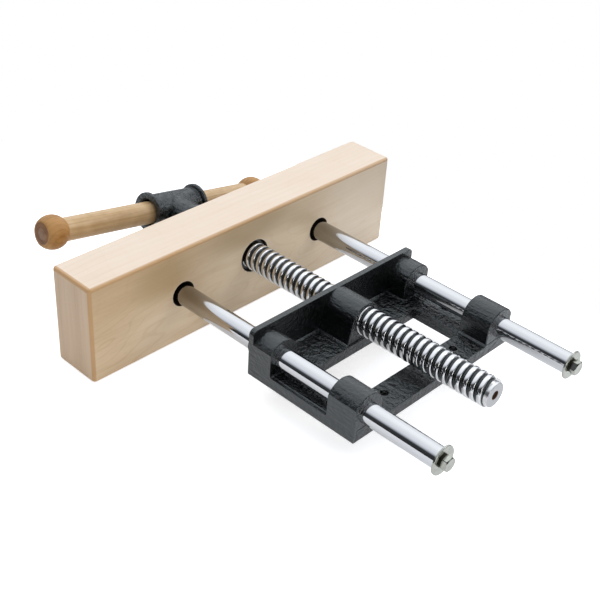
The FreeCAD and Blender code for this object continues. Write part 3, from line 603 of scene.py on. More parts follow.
@dataclass(frozen=True)
class CastEnamel:
    """Black enamel over a sand casting: smooth on the bosses, lumpy low down between them.

    The lumps stand below floor_top and within inner_half of the middle, in metres. Streaks is
    how strong the upright grinding lines and the chips are.
    """

    name: str
    black: Colour = (0.0010, 0.0012, 0.0010)
    worn: Colour = (0.0045, 0.0052, 0.0048)
    floor_top: float = 0.0128
    inner_half: float = 0.106
    streaks: float = 0.0
    # noise of the sand, the ripple, the lumps, the brush marks, worn patches, grinding and chips
    sand: Grain = Grain(900.0, 3.0, 0.6)
    peel: Grain = Grain(320.0)
    lumps: Grain = Grain(190.0, 3.0, 0.6)
    brushed: Grain = Grain((300.0, 32.0, 300.0), 3.0, 0.6)
    patch: Grain = Grain(45.0)
    ground: Grain = Grain((420.0, 60.0, 60.0), 3.0, 0.6)
    chips: Grain = Grain(240.0, 3.0, 0.7)

    def build(self) -> bpy.types.Material:
        """Make the material.

        Returns:
            The material.
        """
        material, sheet = material_sheet(self.name)
        place = sheet.place()
        x, _, z = place
        sand = sheet.noise(place, self.sand)
        peel = sheet.noise(place, self.peel)
        lumps = sheet.noise(place, self.lumps)
        brushed = sheet.noise(place, self.brushed)
        low = z.ramp(self.floor_top - 0.0012, self.floor_top, 1.0, 0.0)
        inside = abs(x).ramp(self.inner_half, self.inner_half + 0.002, 1.0, 0.0)
        patch = sheet.noise(place, self.patch).ramp(0.42, 0.62)
        ground = sheet.noise(place, self.ground)
        chips = sheet.noise(place, self.chips).ramp(0.52, 0.60)
        height = sand * 0.34 + peel * 0.80 + brushed * 1.20 + lumps * (low * inside * 2.6 + 0.10)
        height = height + (ground * 1.0 + chips * 0.7) * self.streaks
        colour = sheet.mix(patch * 0.5 + (sand - 0.5) * 0.5, self.black, self.worn)
        rough = 0.15 + patch * 0.06 + sand * 0.06 + (ground - 0.4) * self.streaks * 0.3
        sheet.surface({"Base Color": colour, "Roughness": rough, "Specular IOR Level": 0.85,
                       "Specular Tint": (0.90, 0.97, 1.0),
                       "Normal": sheet.bump(height, 0.0014, 0.58)})
        return material


@dataclass(frozen=True)
class ChromePlate:
    """Polished chrome plate with faint grinding round the piece, and a painted brown reflection of
    the jaw next to it, where it is also rougher.
    """

    name: str = "chrome_plate"
    bright: Colour = (0.57, 0.575, 0.59)
    # the darker tone is a painted brown reflection of the jaw, fading over the span along Y
    darker_tone: Colour = (0.30, 0.275, 0.235)
    jaw_reflection_span: Span = (-0.165, -0.112)
    shine: float = 0.065
    # noise of the grinding and the haze
    grind: Grain = Grain((20.0, 2600.0, 20.0))
    haze: Grain = Grain(60.0, 3.0)

    def build(self) -> bpy.types.Material:
        """Make the material.

        Returns:
            The material.
        """
        material, sheet = material_sheet(self.name)
        place = sheet.place()
        grind = sheet.noise(place, self.grind)
        haze = sheet.noise(place, self.haze)
        # painted reflection of the jaw, next to it
        jaw_reflection_zone = place[1].ramp(*self.jaw_reflection_span, 0.9, 0.0)
        sheet.surface({"Base Color": sheet.mix(jaw_reflection_zone, self.bright, self.darker_tone),
                       "Metallic": 1.0,
                       "Roughness": self.shine + haze * 0.04 + jaw_reflection_zone * 0.06,
                       "Normal": sheet.bump(grind, 0.00002, 0.08)})
        return material


@dataclass(frozen=True)
class ThreadChrome:
    """Chrome on the thread's crests, with painted shade and a rougher finish down in the groove.

    Places and radii are in metres: the screw's axis, the thread's root and crest, the centre
    hole, and where the plain end and its flat face begin.
    """

    axis_z: float
    name: str = "thread_chrome"
    bright: Colour = (0.70, 0.70, 0.71)
    # groove: painted shade down in the thread's groove
    groove: Colour = (0.05, 0.055, 0.055)
    face: Colour = (0.44, 0.44, 0.45)
    rust: Colour = (0.10, 0.055, 0.035)
    root: float = 0.0122
    crest: float = 0.0144
    hole: float = 0.0044
    land_from: float = 0.1225
    face_from: float = 0.1266
    haze: Grain = Grain(90.0, 3.0)

    def build(self) -> bpy.types.Material:
        """Make the material.

        Returns:
            The material.
        """
        material, sheet = material_sheet(self.name)
        x, y, z = sheet.place()
        radius = hypotenuse(x, z - self.axis_z)
        land = y.ramp(self.land_from, self.land_from + 0.0005)
        deep = radius.ramp(self.root + 0.0006, self.crest - 0.00025, 1.0, 0.0)
        inside = radius.ramp(self.hole, self.hole + 0.0002, 1.0, 0.0)
        haze = sheet.noise((x, y, z), self.haze)
        # painted shade down in the groove
        colour = sheet.mix(deep * (1.0 - land), self.bright, self.groove)
        on_face = y.ramp(self.face_from, self.face_from + 0.0002)
        colour = sheet.mix(on_face, colour, self.face)
        colour = sheet.mix(inside, colour, self.rust)
        sheet.surface({"Base Color": colour, "Metallic": 1.0 - inside,
                       "Roughness": 0.05 + deep * 0.20 + haze * 0.05 + on_face * 0.06})
        return material


@dataclass(frozen=True)
class ZincPlate:
    """Dull zinc plate on bolts and washers, with painted shade and a rougher finish in the gap
    under the rear bolt heads.

    The gap starts at the seat, the place of the stop washers' outer face in metres.
    """

    name: str = "zinc_plate"
    pale: Colour = (0.43, 0.435, 0.395)
    darker_tone: Colour = (0.24, 0.245, 0.22)
    # painted shade in the gap under the rear bolt heads
    painted_gap_shade: Colour = (0.035, 0.033, 0.026)
    seat: float = 0.1454
    gap: float = 0.0017
    # noise of the cloudy plating and its fine grain
    cloud: Grain = Grain(260.0, 3.0)
    grain: Grain = Grain(1900.0)

    def build(self) -> bpy.types.Material:
        """Make the material.

        Returns:
            The material.
        """
        material, sheet = material_sheet(self.name)
        place = sheet.place()
        cloud = sheet.noise(place, self.cloud)
        grain = sheet.noise(place, self.grain)
        half = self.gap / 2
        # painted shade in the gap under the rear bolt heads
        gap_shade_zone = abs(place[1] - (self.seat + half)).ramp(half - 0.0001, half, 1.0, 0.0)
        plate = sheet.mix((cloud - 0.3) * 1.2, self.pale, self.darker_tone)
        sheet.surface({"Base Color": sheet.mix(gap_shade_zone, plate, self.painted_gap_shade), "Metallic": 1.0,
                       "Roughness": 0.10 + cloud * 0.14 + gap_shade_zone * 0.3,
                       "Normal": sheet.bump(grain, 0.00006, 0.25)})
        return material


@dataclass(frozen=True)
class BlackOxide:
    """Blackened steel on the split collar and the cross pin."""

    name: str = "black_oxide"
    black: Colour = (0.012, 0.011, 0.010)
    bare: Colour = (0.05, 0.045, 0.038)
    cloud: Grain = Grain(300.0, 3.0)

    def build(self) -> bpy.types.Material:
        """Make the material.

        Returns:
            The material.
        """
        material, sheet = material_sheet(self.name)
        cloud = sheet.noise(sheet.place(), self.cloud)
        sheet.surface({"Base Color": sheet.mix((cloud - 0.4) * 1.5, self.black, self.bare),
                       "Roughness": 0.22 + cloud * 0.14})
        return material


# ------------------------------------------------------------------ surfaces

def new_piece(name: str, points: np.ndarray, faces: np.ndarray,
              sharp: float = 35.0) -> bpy.types.Object:
    """Put a surface into the scene, with doubles merged and normals pointing out.

    Args:
        name: the piece's name.
        points: vertices in metres, one row each.
        faces: corner numbers of the quads, one row each.
        sharp: edges that bend more than this many degrees stay crisp.

    Returns:
        The new object, at the origin.
    """
    mesh = bpy.data.meshes.new(name)
    mesh.from_pydata(points.tolist(), [], faces.tolist())
    work = bmesh.new()
    work.from_mesh(mesh)
    bmesh.ops.remove_doubles(work, verts=work.verts, dist=2e-7)
    bmesh.ops.dissolve_degenerate(work, edges=work.edges, dist=1e-8)
    bmesh.ops.recalc_face_normals(work, faces=work.faces)
    work.to_mesh(mesh)
    work.free()
    mesh.polygons.foreach_set("use_smooth", np.ones(len(mesh.polygons), bool))
    mesh.set_sharp_from_angle(angle=math.radians(sharp))
    mesh.update()
    piece = bpy.data.objects.new(name, mesh)
    bpy.context.scene.collection.objects.link(piece)
    return piece


def grid_faces(rows: int, columns: int, closed_rows: bool = False) -> np.ndarray:
    """Quads of a grid whose columns run round and close.

    The corners of cell (i, j) are (i, j), (i + 1, j), (i + 1, j + 1) and (i, j + 1), with j
    counted round, and i too if the rows close.

    Args:
        rows: points along the grid.
        columns: points round the grid.
        closed_rows: whether the last row meets the first.

    Returns:
        Corner numbers, one row per quad.
    """
    i = np.arange(rows if closed_rows else rows - 1)[:, None]
    j = np.arange(columns)[None, :]
    after_i = (i + 1) % rows
    after_j = (j + 1) % columns
    corners = [i * columns + j, after_i * columns + j, after_i * columns + after_j,
               i * columns + after_j]
    shape = (i.size, columns)
    return np.stack([np.broadcast_to(c, shape) for c in corners], axis=-1).reshape(-1, 4)


@dataclass(frozen=True)
class Lathe:
    """Turns outlines round an axis.

    A point of the outline at distance a along the axis and r from it becomes, at angle t,
    centre + a * axis + r * (cos t * side + sin t * up).
    """

    centre: Point
    axis: Point
    side: Point

    def turn(self, name: str, outline: Sequence[tuple[float, float]], sides: int = 96,
             ring: bool = False, sharp: float = 35.0) -> bpy.types.Object:
        """Turn an outline.

        Args:
            name: the new piece's name.
            outline: (along, radius) pairs in millimetres.
            sides: divisions round the axis.
            ring: whether the outline closes on itself.
            sharp: edges that bend more than this many degrees stay crisp.

        Returns:
            The turned piece.
        """
        along, radius = np.array(outline, float).T * MM
        angle = np.linspace(0.0, 2 * math.pi, sides, endpoint=False)
        return self.surface(name, along[:, None] + 0 * angle[None, :],
                            radius[:, None] + 0 * angle[None, :], angle, ring, sharp)

    def surface(self, name: str, along: np.ndarray, radius: np.ndarray, angle: np.ndarray,
                ring: bool = False, sharp: float = 35.0) -> bpy.types.Object:
        """Make a surface round the axis.

        Args:
            name: the new piece's name.
            along: grid of distances along the axis, in metres.
            radius: grid of distances from it, in metres.
            angle: the angle of each column of the grids.
            ring: whether the last row meets the first.
            sharp: edges that bend more than this many degrees stay crisp.

        Returns:
            The new piece.
        """
        axis, side = np.array(self.axis), np.array(self.side)
        up = np.cross(axis, side)
        spoke = np.cos(angle)[:, None] * side + np.sin(angle)[:, None] * up
        points = np.array(self.centre) + along[..., None] * axis + radius[..., None] * spoke[None]
        faces = grid_faces(*along.shape, closed_rows=ring)
        return new_piece(name, points.reshape(-1, 3), faces, sharp)


def rounded(outline: Sequence[Point], steps: int = 4) -> list[Span]:
    """Round the corners of an outline, except its first and last.

    Each corner (a, r, size) is replaced by a quadratic curve from size before it to size after it,
    at the weights (1 - t)^2, 2 t (1 - t) and t^2.

    Args:
        outline: corners as (along, radius, rounding), in millimetres.
        steps: segments per rounded corner.

    Returns:
        The finer outline as (along, radius) pairs.
    """
    result: list[Span] = []
    last = len(outline) - 1
    for k, (a, r, size) in enumerate(outline):
        corner = np.array((a, r))
        if size <= 0 or k in (0, last):
            result.append((a, r))
            continue
        start, end = (corner + way / np.linalg.norm(way) * min(size, np.linalg.norm(way) / 2)
                      for way in (np.array(outline[k + step][:2]) - corner for step in (-1, 1)))
        t = np.linspace(0.0, 1.0, steps + 1)[:, None]
        curve = (1 - t) ** 2 * start + 2 * t * (1 - t) * corner + t ** 2 * end
        result.extend(map(tuple, curve.tolist()))
    return result


def smoothstep(value: np.ndarray) -> np.ndarray:
    """3 t^2 - 2 t^3 for t cut to 0..1."""
    t = np.clip(value, 0.0, 1.0)
    return t * t * (3 - 2 * t)


@dataclass
class Bench:
    """Puts finishes on pieces and keeps the count of what was made."""

    made: list[str] = field(default_factory=list)

    def dress(self, node: str, material: bpy.types.Material) -> None:
        """Give a solid of the frame its material.

        Args:
            node: the solid's name.
            material: its finish.
        """
        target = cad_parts[node]
        target.data.materials.clear()
        target.data.materials.append(material)
        self.made.append(node)
        LOG.info("finished %s with %s", node, material.name)

    def add(self, piece: bpy.types.Object, node: str, body: str, slot: str,
            material: bpy.types.Material) -> None:
        """Put a new piece in a solid's place, on its body.

        Args:
            piece: the new piece.
            node: the solid that it replaces.
            body: the body that it moves with.
            slot: not used.
            material: its finish.
        """
        piece.data.materials.append(material)
        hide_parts(node)
        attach(piece, body)
        self.made.append(piece.name)
        LOG.info("made %s for %s: %d faces", piece.name, node, len(piece.data.polygons))


# ------------------------------------------------------------------ sub-assemblies

@dataclass
class Carriage:
    """The guide rods that carry the jaw, with their washers and bolts.

    Lengths are in millimetres. Turned is by how many degrees the left and right bolt heads are
    turned.
    """

    rod_easing: float = 1.0
    tap_radius: float = 4.05
    tap_depth: float = 20.0
    washer_hole: float = 4.3
    washer_roundings: tuple[float, ...] = (0.25, 0.7, 0.35)
    bolt_flats: float = 13.0
    bolt_shank: float = 4.0
    bolt_tip: float = 0.6
    bolt_easing: float = 0.5
    head_rim: Span = (0.15, 0.12)
    head_dish: Span = (0.12, 1.0)
    head_foot: float = 0.25
    collar_radius: float = 6.3
    collar: float = 1.7
    collar_easing: float = 0.2
    turned: Span = (-5.0, 12.0)

    @staticmethod
    def lathe(extent: Extent) -> Lathe:
        """The lathe on a round solid's own axis along Y."""
        return Lathe((extent.middle[0] * MM, 0.0, extent.middle[2] * MM), (0, 1, 0), (0, 0, 1))

    def rod(self, name: str, node: str) -> bpy.types.Object:
        """A rod with eased ends and a tapped hole in each.

        Args:
            name: the new piece's name.
            node: the solid that it follows.

        Returns:
            The rod.
        """
        extent = Extent.of(node)
        front, rear, edge = extent.low[1], extent.high[1], extent.half[0]
        tap, depth = self.tap_radius, self.tap_depth
        return self.lathe(extent).turn(name, rounded([
            (front + depth, 0, 0), (front + depth, tap, 0), (front, tap, 0),
            (front, edge, self.rod_easing), (rear, edge, self.rod_easing), (rear, tap, 0),
            (rear - depth, tap, 0), (rear - depth, 0, 0)]), 128)

    def washer(self, name: str, node: str) -> bpy.types.Object:
        """A punched washer: crisp on one side, rolled on the other.

        Args:
            name: the new piece's name.
            node: the solid that it follows.

        Returns:
            The washer.
        """
        extent = Extent.of(node)
        front, back, radius = extent.low[1], extent.high[1], extent.half[0]
        crisp, rolled, inner = self.washer_roundings
        corners = [(front, self.washer_hole, 0), (front, radius, crisp), (back, radius, rolled),
                   (back, self.washer_hole, inner), (front, self.washer_hole, 0)]
        return self.lathe(extent).turn(name, rounded(corners)[:-1], ring=True)

    def bolt(self, name: str, node: str, washer: str, outward: float,
             turned: float) -> bpy.types.Object:
        """A hexagon bolt with a round bearing face under its head.

        The head's radius at angle t is half the flats over the cosine of t counted from the middle
        of its flat, and the whole head is turned by some degrees. The easing takes
        (radius - r0) * tan 30 off the outer face, where r0 is the radius of the round flat on top.

        Args:
            name: the new piece's name.
            node: the solid that it follows.
            washer: the solid of the washer under its head.
            outward: the sign of the way the head looks along Y.
            turned: the head's turn in degrees.

        Returns:
            The bolt.
        """
        extent, seat = Extent.of(node), Extent.of(washer)
        outer, inner, start = extent.high[1], extent.low[1], seat.high[1]
        if outward < 0:
            outer, inner, start = extent.low[1], extent.high[1], seat.low[1]
        head, tip = abs(outer - start), -abs(inner - start)
        angle = np.linspace(0.0, 2 * math.pi, 96, endpoint=False)
        from_flat = (angle - math.radians(turned) + math.pi / 6) % (math.pi / 3) - math.pi / 6
        hexagon = self.bolt_flats / 2 / np.cos(from_flat)
        top = self.bolt_flats / 2 - self.bolt_easing
        eased = head - np.maximum(hexagon - top, 0) * math.tan(math.radians(30))
        shank, wide, thick = self.bolt_shank, self.collar_radius, self.collar
        bowl = head - self.head_dish[0]
        rows = [(tip, 0), (tip, shank - self.bolt_tip), (tip + self.bolt_tip, shank), (0, shank),
                (0, wide - self.collar_easing), (self.collar_easing, wide), (thick, wide),
                (thick, hexagon - self.head_foot), (thick + self.head_foot, hexagon),
                (eased - self.head_rim[0], hexagon), (eased, hexagon - self.head_rim[1]),
                (head, top), (bowl, top - self.head_dish[1]), (bowl, 0)]
        along, radius = (np.stack([row[k] + 0 * angle for row in rows]) * MM for k in (0, 1))
        centre = (extent.middle[0] * MM, start * MM, extent.middle[2] * MM)
        lathe = Lathe(centre, (0, outward, 0), (0, 0, 1))
        return lathe.surface(name, along, radius, angle, sharp=22.0)

    def build(self, bench: Bench, chrome: bpy.types.Material, zinc: bpy.types.Material) -> None:
        """Make the rods and what is on their ends.

        Args:
            bench: keeps the pieces.
            chrome: finish of the rods.
            zinc: finish of the washers and bolts.
        """
        for side, turned in zip(Side, self.turned):
            word = side.word
            rod = self.rod(f"rod_{word}", f"guide_rod_{word}")
            bench.add(rod, f"guide_rod_{word}", "jaw_carriage", "chrome_steel", chrome)
            for place, outward in (("stop", 1.0), ("front", -1.0)):
                washer, bolt = f"rod_{place}_washer_{word}", f"rod_{place}_bolt_{word}"
                disc = self.washer(f"{place}_washer_{word}", washer)
                bench.add(disc, washer, "jaw_carriage", "zinc_steel", zinc)
                hexagon = self.bolt(f"{place}_bolt_{word}", bolt, washer, outward, turned)
                bench.add(hexagon, bolt, "jaw_carriage", "zinc_steel", zinc)


@dataclass
class LeadScrew:
    """The threaded spindle, with its sizes and places along Y in millimetres.

    Every row of the thread's grid runs along the helix: at angle t its place along the axis is
    v - lead * t / (2 pi), so one row later the same profile comes round again.
    """

    axis_z: float = 30.6
    tilt: float = 10.45
    front: float = -285.4
    shoulder: float = -254.4
    groove_front: float = -177.7
    groove_width: float = 2.0
    collar_root: float = 13.2
    first: float = -173.73
    thread_end: float = 123.2
    rear: float = 127.0
    lead: float = 7.8
    crest: float = 14.4
    root: float = 12.2
    root_half: float = 0.85
    crest_half: float = 2.25
    margin: float = 0.02
    marks: int = 12
    run_in: float = 0.125
    land: float = 12.1
    spigot: float = 11.0
    hole: float = 4.4
    hole_depth: float = 14.0
    sides: int = 96
    # roundings of the spigot, the shoulder, the groove's lip, the rear end and its hole
    easings: tuple[float, ...] = (0.6, 0.3, 0.2, 0.7, 0.3)

    @property
    def start(self) -> float:
        """Where the thread's stretch begins, behind the collar's groove."""
        return self.groove_front + self.groove_width

    def depth(self, v: np.ndarray, turn: np.ndarray) -> np.ndarray:
        """How far the groove is cut at a place on the helix.

        Round each multiple of the lead the groove has a flat root, and from there the flank rises
        as 3 t^2 - 2 t^3 into a rounded crest. Along the groove it deepens over its first part of
        a turn.

        Args:
            v: place along the axis, less the helix's own advance.
            turn: share of a turn from 0 to 1.

        Returns:
            The depth in millimetres.
        """
        count = np.round((v - self.first) / self.lead)
        off = np.abs(v - self.first - count * self.lead)
        profile = smoothstep((self.crest_half - off) / (self.crest_half - self.root_half))
        return (self.crest - self.root) * profile * smoothstep((count - turn) / self.run_in)

    def threaded(self) -> tuple[np.ndarray, np.ndarray]:
        """Work out the thread, row by row along the helix.

        Returns:
            Grids of the place along the axis and of the radius, in millimetres.
        """
        flank = np.linspace(self.root_half - self.margin, self.crest_half + self.margin,
                            self.marks // 2)
        marks = np.concatenate([-flank[::-1], flank])
        turns = int((self.thread_end - self.start) / self.lead) + 3
        v = (self.first + self.lead * np.arange(-1, turns)[:, None] + marks[None, :]).ravel()
        turn = np.arange(self.sides) / self.sides
        along = np.clip(v[:, None] - self.lead * turn[None, :], self.start, self.thread_end)
        phase = along + self.lead * turn[None, :]
        return along, self.crest - self.depth(phase, turn[None, :])

    def ends(self) -> tuple[np.ndarray, np.ndarray]:
        """Work out the plain stretches before and after the thread.

        Returns:
            Their outlines as rows of (along, radius), in millimetres.
        """
        front, start, groove = self.front, self.start, self.groove_front
        hole_end = self.rear - self.hole_depth
        spigot, shoulder, lip, rear, hole = self.easings
        before = [(front, 0, 0), (front, self.spigot, spigot), (self.shoulder, self.spigot, 0),
                  (self.shoulder, self.crest, shoulder), (groove, self.crest, lip),
                  (groove, self.collar_root, 0), (start, self.collar_root, 0),
                  (start, self.crest, 0)]
        after = [(self.thread_end, self.land, 0), (self.rear, self.land, rear),
                 (self.rear, self.hole, hole), (hole_end, self.hole, 0), (hole_end, 0, 0)]
        return np.array(rounded(before)), np.array(rounded(after))

    def joined(self, low: int, high: int, rows: int) -> np.ndarray:
        """Quads of the whole grid, with the thread's rows joined to those of the next turn.

        Once round, a row has gone back by one lead, to where the row with the same mark in the
        turn before starts. So the quads that close the thread take their two far corners from as
        many rows back as a profile has marks.

        Args:
            low: the thread's first row.
            high: the first row after the thread.
            rows: number of rows.

        Returns:
            Corner numbers, one row per quad.
        """
        columns = self.sides
        faces = grid_faces(rows, columns)
        seam = faces[:, 0] % columns == columns - 1
        row = faces[seam][:, 0] // columns
        inside = (row >= low) & (row + 1 < high)
        closing = faces[seam]
        for corner, beside in ((3, row), (2, row + 1)):
            before = np.maximum(beside - self.marks, low)
            closing[:, corner] = np.where(inside, before, beside) * columns
        faces[seam] = closing
        return faces

    def build(self, bench: Bench, chrome: bpy.types.Material) -> None:
        """Make the spindle as one closed surface.

        A row's point at angle t is its place along Y plus its radius times
        cos t * side + sin t * up, where side and up are X and Z turned by the handle's tilt.

        Args:
            bench: keeps the piece.
            chrome: its finish.
        """
        head, tail = self.ends()
        flat = np.ones(self.sides)
        along, radius = (np.vstack([head[:, k:k + 1] * flat, grid, tail[:, k:k + 1] * flat])
                         for k, grid in enumerate(self.threaded()))
        turn = math.radians(self.tilt)
        side = np.array((math.cos(turn), 0.0, math.sin(turn)))
        up = np.array((-math.sin(turn), 0.0, math.cos(turn)))
        angle = 2 * math.pi * np.arange(self.sides) / self.sides
        spoke = np.cos(angle)[:, None] * side + np.sin(angle)[:, None] * up
        points = radius[..., None] * spoke[None]
        points[..., 1] += along
        points[..., 2] += self.axis_z
        faces = self.joined(len(head), len(along) - len(tail), len(along))
        piece = new_piece("spindle", points.reshape(-1, 3) * MM, faces, sharp=40.0)
        bench.add(piece, "lead_screw", "screw", "chrome_steel", chrome)


@dataclass
class Handle:
    """The sliding bar with a round knob on each end.

    Lengths are in millimetres, the tilt in degrees and the ball's easing in radians. The sag is
    how far the bar lies below the middle of its bore, and the mouth is how much wider and how
    deep the outer end of a knob's hole is eased.
    """

    hub_y: float = -301.7
    axis_z: float = 30.6
    tilt: float = 10.45
    sag: float = 0.75
    bar: float = 12.0
    bar_easing: float = 0.25
    tenon: float = 6.5
    tenon_easing: float = 0.4
    knob: float = 17.5
    knob_flat: float = 12.9
    flat_rounding: float = 1.2
    ball_easing: float = 0.12
    tenon_short: float = 0.15
    hole_play: float = 0.05
    mouth: Span = (0.2, 0.3)
    end_tone: float = 0.6
    left: float = -120.5
    right: float = 154.4

    @property
    def span(self) -> float:
        """The distance between the knobs' centres."""
        return self.right - self.left

    @property
    def inner(self) -> float:
        """From a knob's centre to the flat that meets the bar."""
        return math.sqrt(self.knob ** 2 - self.bar ** 2)

    @property
    def outer(self) -> float:
        """From a knob's centre to its outer flat."""
        return math.sqrt(self.knob ** 2 - self.knob_flat ** 2)

    def lathe(self) -> Lathe:
        """Set a lathe up on the bar's axis.

        Returns:
            The lathe, whose axis points to the right knob.
        """
        turn = math.radians(self.tilt)
        centre = (self.sag * math.sin(turn) * MM, self.hub_y * MM,
                  (self.axis_z - self.sag * math.cos(turn)) * MM)
        return Lathe(centre, (math.cos(turn), 0.0, math.sin(turn)), (0.0, 1.0, 0.0))

    def wood(self, name: str, pale: Colour, dark: Colour, gloss: float,
             coat: float) -> bpy.types.Material:
        """Turned wood with fibres along the bar.

        Args:
            name: the material's name.
            pale: tone of its early growth.
            dark: tone of its late growth.
            gloss: roughness of its smoothest places.
            coat: weight of its coat of oil.

        Returns:
            The material.
        """
        hub = (0.0, self.hub_y * MM, self.axis_z * MM)
        middle = (self.left + self.right) / 2 * MM
        end_from = (self.span / 2 + self.outer - self.end_tone) * MM
        return TurnedWood(name, pale, dark, gloss, coat, self.tilt, hub, middle, end_from).build()

    def build(self, bench: Bench, bar_wood: bpy.types.Material,
              knob_wood: bpy.types.Material) -> None:
        """Make the bar and the knobs.

        A knob's radius at a distance a from its centre is the square root of knob^2 - a^2, between
        the flat that meets the bar and the flat on its outer end.

        Args:
            bench: keeps the pieces.
            bar_wood: finish of the bar.
            knob_wood: finish of the knobs.
        """
        lathe = self.lathe()
        inner, outer, tenon = self.inner, self.outer, self.tenon
        first, last = self.left - outer + self.tenon_short, self.right + outer - self.tenon_short
        from_left, to_right = self.left + inner, self.right - inner
        bar = lathe.turn("turned_bar", rounded([
            (first, 0, 0), (first, tenon, self.tenon_easing), (from_left, tenon, 0),
            (from_left, self.bar, self.bar_easing), (to_right, self.bar, self.bar_easing),
            (to_right, tenon, 0), (last, tenon, self.tenon_easing), (last, 0, 0)]))
        bench.add(bar, "handle_bar", "handle", "handle_wood", bar_wood)
        hole = tenon + self.hole_play
        sweep = np.linspace(-math.asin(inner / self.knob),
                            math.asin(outer / self.knob) - self.ball_easing, 38)
        for side, centre, sign in (("left", self.left, -1), ("right", self.right, 1)):
            ball = np.stack([centre + sign * self.knob * np.sin(sweep), self.knob * np.cos(sweep),
                             0 * sweep], 1)
            outline = [(centre - sign * inner, hole, 0), *map(tuple, ball.tolist()),
                       (centre + sign * outer, self.knob_flat, self.flat_rounding),
                       (centre + sign * outer, hole + self.mouth[0], 0),
                       (centre + sign * (outer - self.mouth[1]), hole, 0)]
            knob = lathe.turn(f"knob_{side}", rounded(outline), ring=True, sharp=30.0)
            bench.add(knob, f"handle_knob_{side}", "handle", "knob_wood", knob_wood)


# ------------------------------------------------------------------ studio

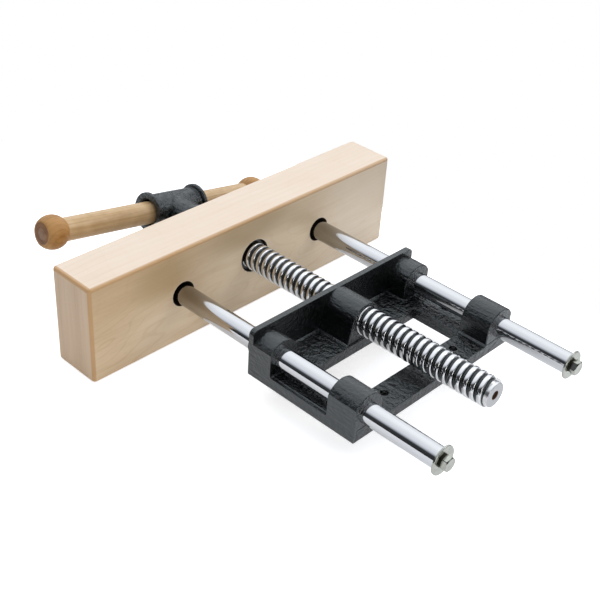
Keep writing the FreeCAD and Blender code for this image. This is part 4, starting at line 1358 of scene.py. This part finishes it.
@dataclass
class Studio:
    """White floor, soft lamps and the camera.

    The eye is the camera's place in metres, and right, up and back are its own axes. The sky is
    a lamp round an axis, with a colour at each cosine from that axis.
    """

    floor_z: float
    table: tuple[Span, Span] = ((-0.26, -0.65), (1.10, 0.80))
    paint: Colour = (0.93, 0.93, 0.93)
    glow: float = 0.62
    white: Colour = (1.0, 1.0, 1.0)
    sky: float = 1.35
    sky_axis: Point = (-0.4625, -0.4200, 0.7808)
    sky_stops: tuple[tuple[float, Colour], ...] = (
        (0.00, (0.020, 0.022, 0.024)), (0.16, (0.035, 0.040, 0.045)),
        (0.30, (0.40, 0.43, 0.47)), (0.50, (0.78, 0.80, 0.86)),
        (0.80, (0.90, 0.94, 0.98)), (1.0, (1.10, 1.14, 1.18)))
    horizon: float = 0.10
    lamp_aim: Point = (0.0, -0.15, 0.02)
    eye: Point = (0.667730, 0.499807, 0.618577)
    right: Point = (-0.6982415, 0.71375063, 0.05494406)
    up: Point = (-0.36862311, -0.42428319, 0.82710385)
    back: Point = (0.61365773, 0.55726458, 0.55935711)
    focal_px: float = 1100.576
    frame_px: float = 600.0
    sensor: float = 36.0

    def camera(self) -> None:
        """Create the camera and make it the scene's own."""
        data = bpy.data.cameras.new("camera")
        data.sensor_fit = "HORIZONTAL"
        data.sensor_width = self.sensor
        data.lens = self.focal_px / self.frame_px * self.sensor
        data.clip_start = 0.01
        data.clip_end = 50.0
        camera = bpy.data.objects.new("camera", data)
        turn = Matrix((self.right, self.up, self.back)).transposed().to_4x4()
        camera.matrix_world = Matrix.Translation(Vector(self.eye)) @ turn
        bpy.context.scene.collection.objects.link(camera)
        bpy.context.scene.camera = camera

    def lamp(self, name: str, place: Point, size: float, power: float) -> None:
        """Add a soft square lamp that faces the part.

        Args:
            name: the lamp's name.
            place: where it stands, in metres.
            size: its width and height.
            power: its power in watts.
        """
        data = bpy.data.lights.new(name, "AREA")
        data.shape = "RECTANGLE"
        data.size = data.size_y = size
        data.energy = power
        lamp = bpy.data.objects.new(name, data)
        facing = (Vector(self.lamp_aim) - Vector(place)).to_track_quat("-Z", "Y")
        lamp.matrix_world = Matrix.Translation(Vector(place)) @ facing.to_matrix().to_4x4()
        bpy.context.scene.collection.objects.link(lamp)

    @staticmethod
    def seen(sheet: NodeSheet, glossy: float) -> Shade:
        """Where the white ground shows.

        Args:
            sheet: the sheet of the floor or the world.
            glossy: share of the white that reflections show.

        Returns:
            1 to the camera and through glass, the share in reflections, 0 elsewhere.
        """
        rays = sheet.node("ShaderNodeLightPath").outputs
        camera, through, mirrored = (Shade(sheet, rays[f"Is {kind} Ray"])
                                     for kind in ("Camera", "Transmission", "Glossy"))
        return camera.higher(through).higher(mirrored * glossy)

    def world(self) -> None:
        """Room light from one broad soft lamp above and behind, and white to the camera.

        The brightness follows the cosine between a direction and the lamp's axis, and falls to a
        tenth below the horizon.
        """
        world = bpy.data.worlds.new("studio")
        bpy.context.scene.world = world
        world.use_nodes = True
        sheet = NodeSheet(world.node_tree)
        where = sheet.node("ShaderNodeTexCoord").outputs["Generated"]
        cosine = sheet.node("ShaderNodeVectorMath", {"operation": "DOT_PRODUCT"},
                            {0: where, 1: self.sky_axis}).outputs["Value"]
        sky = sheet.node("ShaderNodeValToRGB", {"stops": self.sky_stops}, {"Fac": cosine})
        parts = sheet.node("ShaderNodeSeparateXYZ", inputs={"Vector": where}).outputs
        strength = Shade(sheet, parts["Z"]).ramp(0.0, self.horizon, 0.10, 1.0) * self.sky
        room = sheet.node("ShaderNodeBackground",
                          inputs={"Color": sky.outputs[0], "Strength": strength})
        white = sheet.node("ShaderNodeBackground", inputs={"Color": self.white, "Strength": 1.0})
        mixed = sheet.node("ShaderNodeMixShader", inputs={
            0: self.seen(sheet, glossy=0.02), 1: room.outputs[0], 2: white.outputs[0]})
        sheet.node("ShaderNodeOutputWorld", inputs={"Surface": mixed.outputs[0]})

    def floor(self) -> None:
        """A pale table top that keeps the shadow, and is white to the camera elsewhere."""
        mesh = bpy.data.meshes.new("floor")
        (left, front), (right, back) = self.table
        corners = [(left, front), (right, front), (right, back), (left, back)]
        mesh.from_pydata([(x, y, self.floor_z) for x, y in corners], [], [(0, 1, 2, 3)])
        floor = bpy.data.objects.new("floor", mesh)
        bpy.context.scene.collection.objects.link(floor)
        material, sheet = material_sheet("floor_white")
        paint = sheet.node("ShaderNodeBsdfDiffuse", inputs={"Color": self.paint})
        glow = sheet.node("ShaderNodeEmission",
                          inputs={"Color": self.white, "Strength": self.glow})
        lit = sheet.node("ShaderNodeAddShader", inputs={0: paint.outputs[0], 1: glow.outputs[0]})
        mixed = sheet.node("ShaderNodeMixShader", inputs={
            0: self.seen(sheet, glossy=0.3), 1: paint.outputs[0], 2: lit.outputs[0]})
        sheet.node("ShaderNodeOutputMaterial", inputs={"Surface": mixed.outputs[0]})
        mesh.materials.append(material)

    def build(self) -> None:
        """Set the whole studio up."""
        self.floor()
        self.world()
        self.lamp("key", (-1.0, 0.7, 1.1), size=0.6, power=3.0)
        self.lamp("fill", (0.9, 1.3, 0.7), size=0.8, power=7.5)
        self.camera()
        bpy.context.scene.view_settings.view_transform = "Standard"


# ------------------------------------------------------------------ main

def main() -> None:
    """Build the studio and every sub-assembly in order."""
    logging.basicConfig(level=logging.INFO, format="%(name)s: %(message)s")
    jaw = Extent.of("wood_jaw")
    Studio(floor_z=(jaw.low[2] - 0.5) * MM).build()
    bench = Bench()
    casting = CastEnamel("cast_enamel").build()
    black = BlackOxide().build()
    chrome = ChromePlate().build()
    zinc = ZincPlate().build()
    bench.dress("wood_jaw", JawWood(jaw).build())
    for node in ("carrier_casting", "front_plate"):
        bench.dress(node, casting)
    bench.dress("screw_hub", CastEnamel("hub_enamel", streaks=1.0).build())
    for node in ("jaw_screws", "thrust_washer"):
        bench.dress(node, zinc)
    for node in ("retaining_ring", "hub_pin"):
        bench.dress(node, black)
    Carriage().build(bench, chrome, zinc)
    spindle = LeadScrew()
    spindle.build(bench, ThreadChrome(spindle.axis_z * MM).build())
    handle = Handle()
    bar_wood = handle.wood("bar_hardwood", (0.70, 0.49, 0.27), (0.47, 0.28, 0.12),
                           gloss=0.34, coat=0.10)
    knob_wood = handle.wood("knob_hardwood", (0.54, 0.285, 0.095), (0.33, 0.15, 0.036),
                            gloss=0.42, coat=0.0)
    handle.build(bench, bar_wood, knob_wood)
    LOG.info("%d pieces", len(bench.made))


if __name__ == "__main__":
    main()
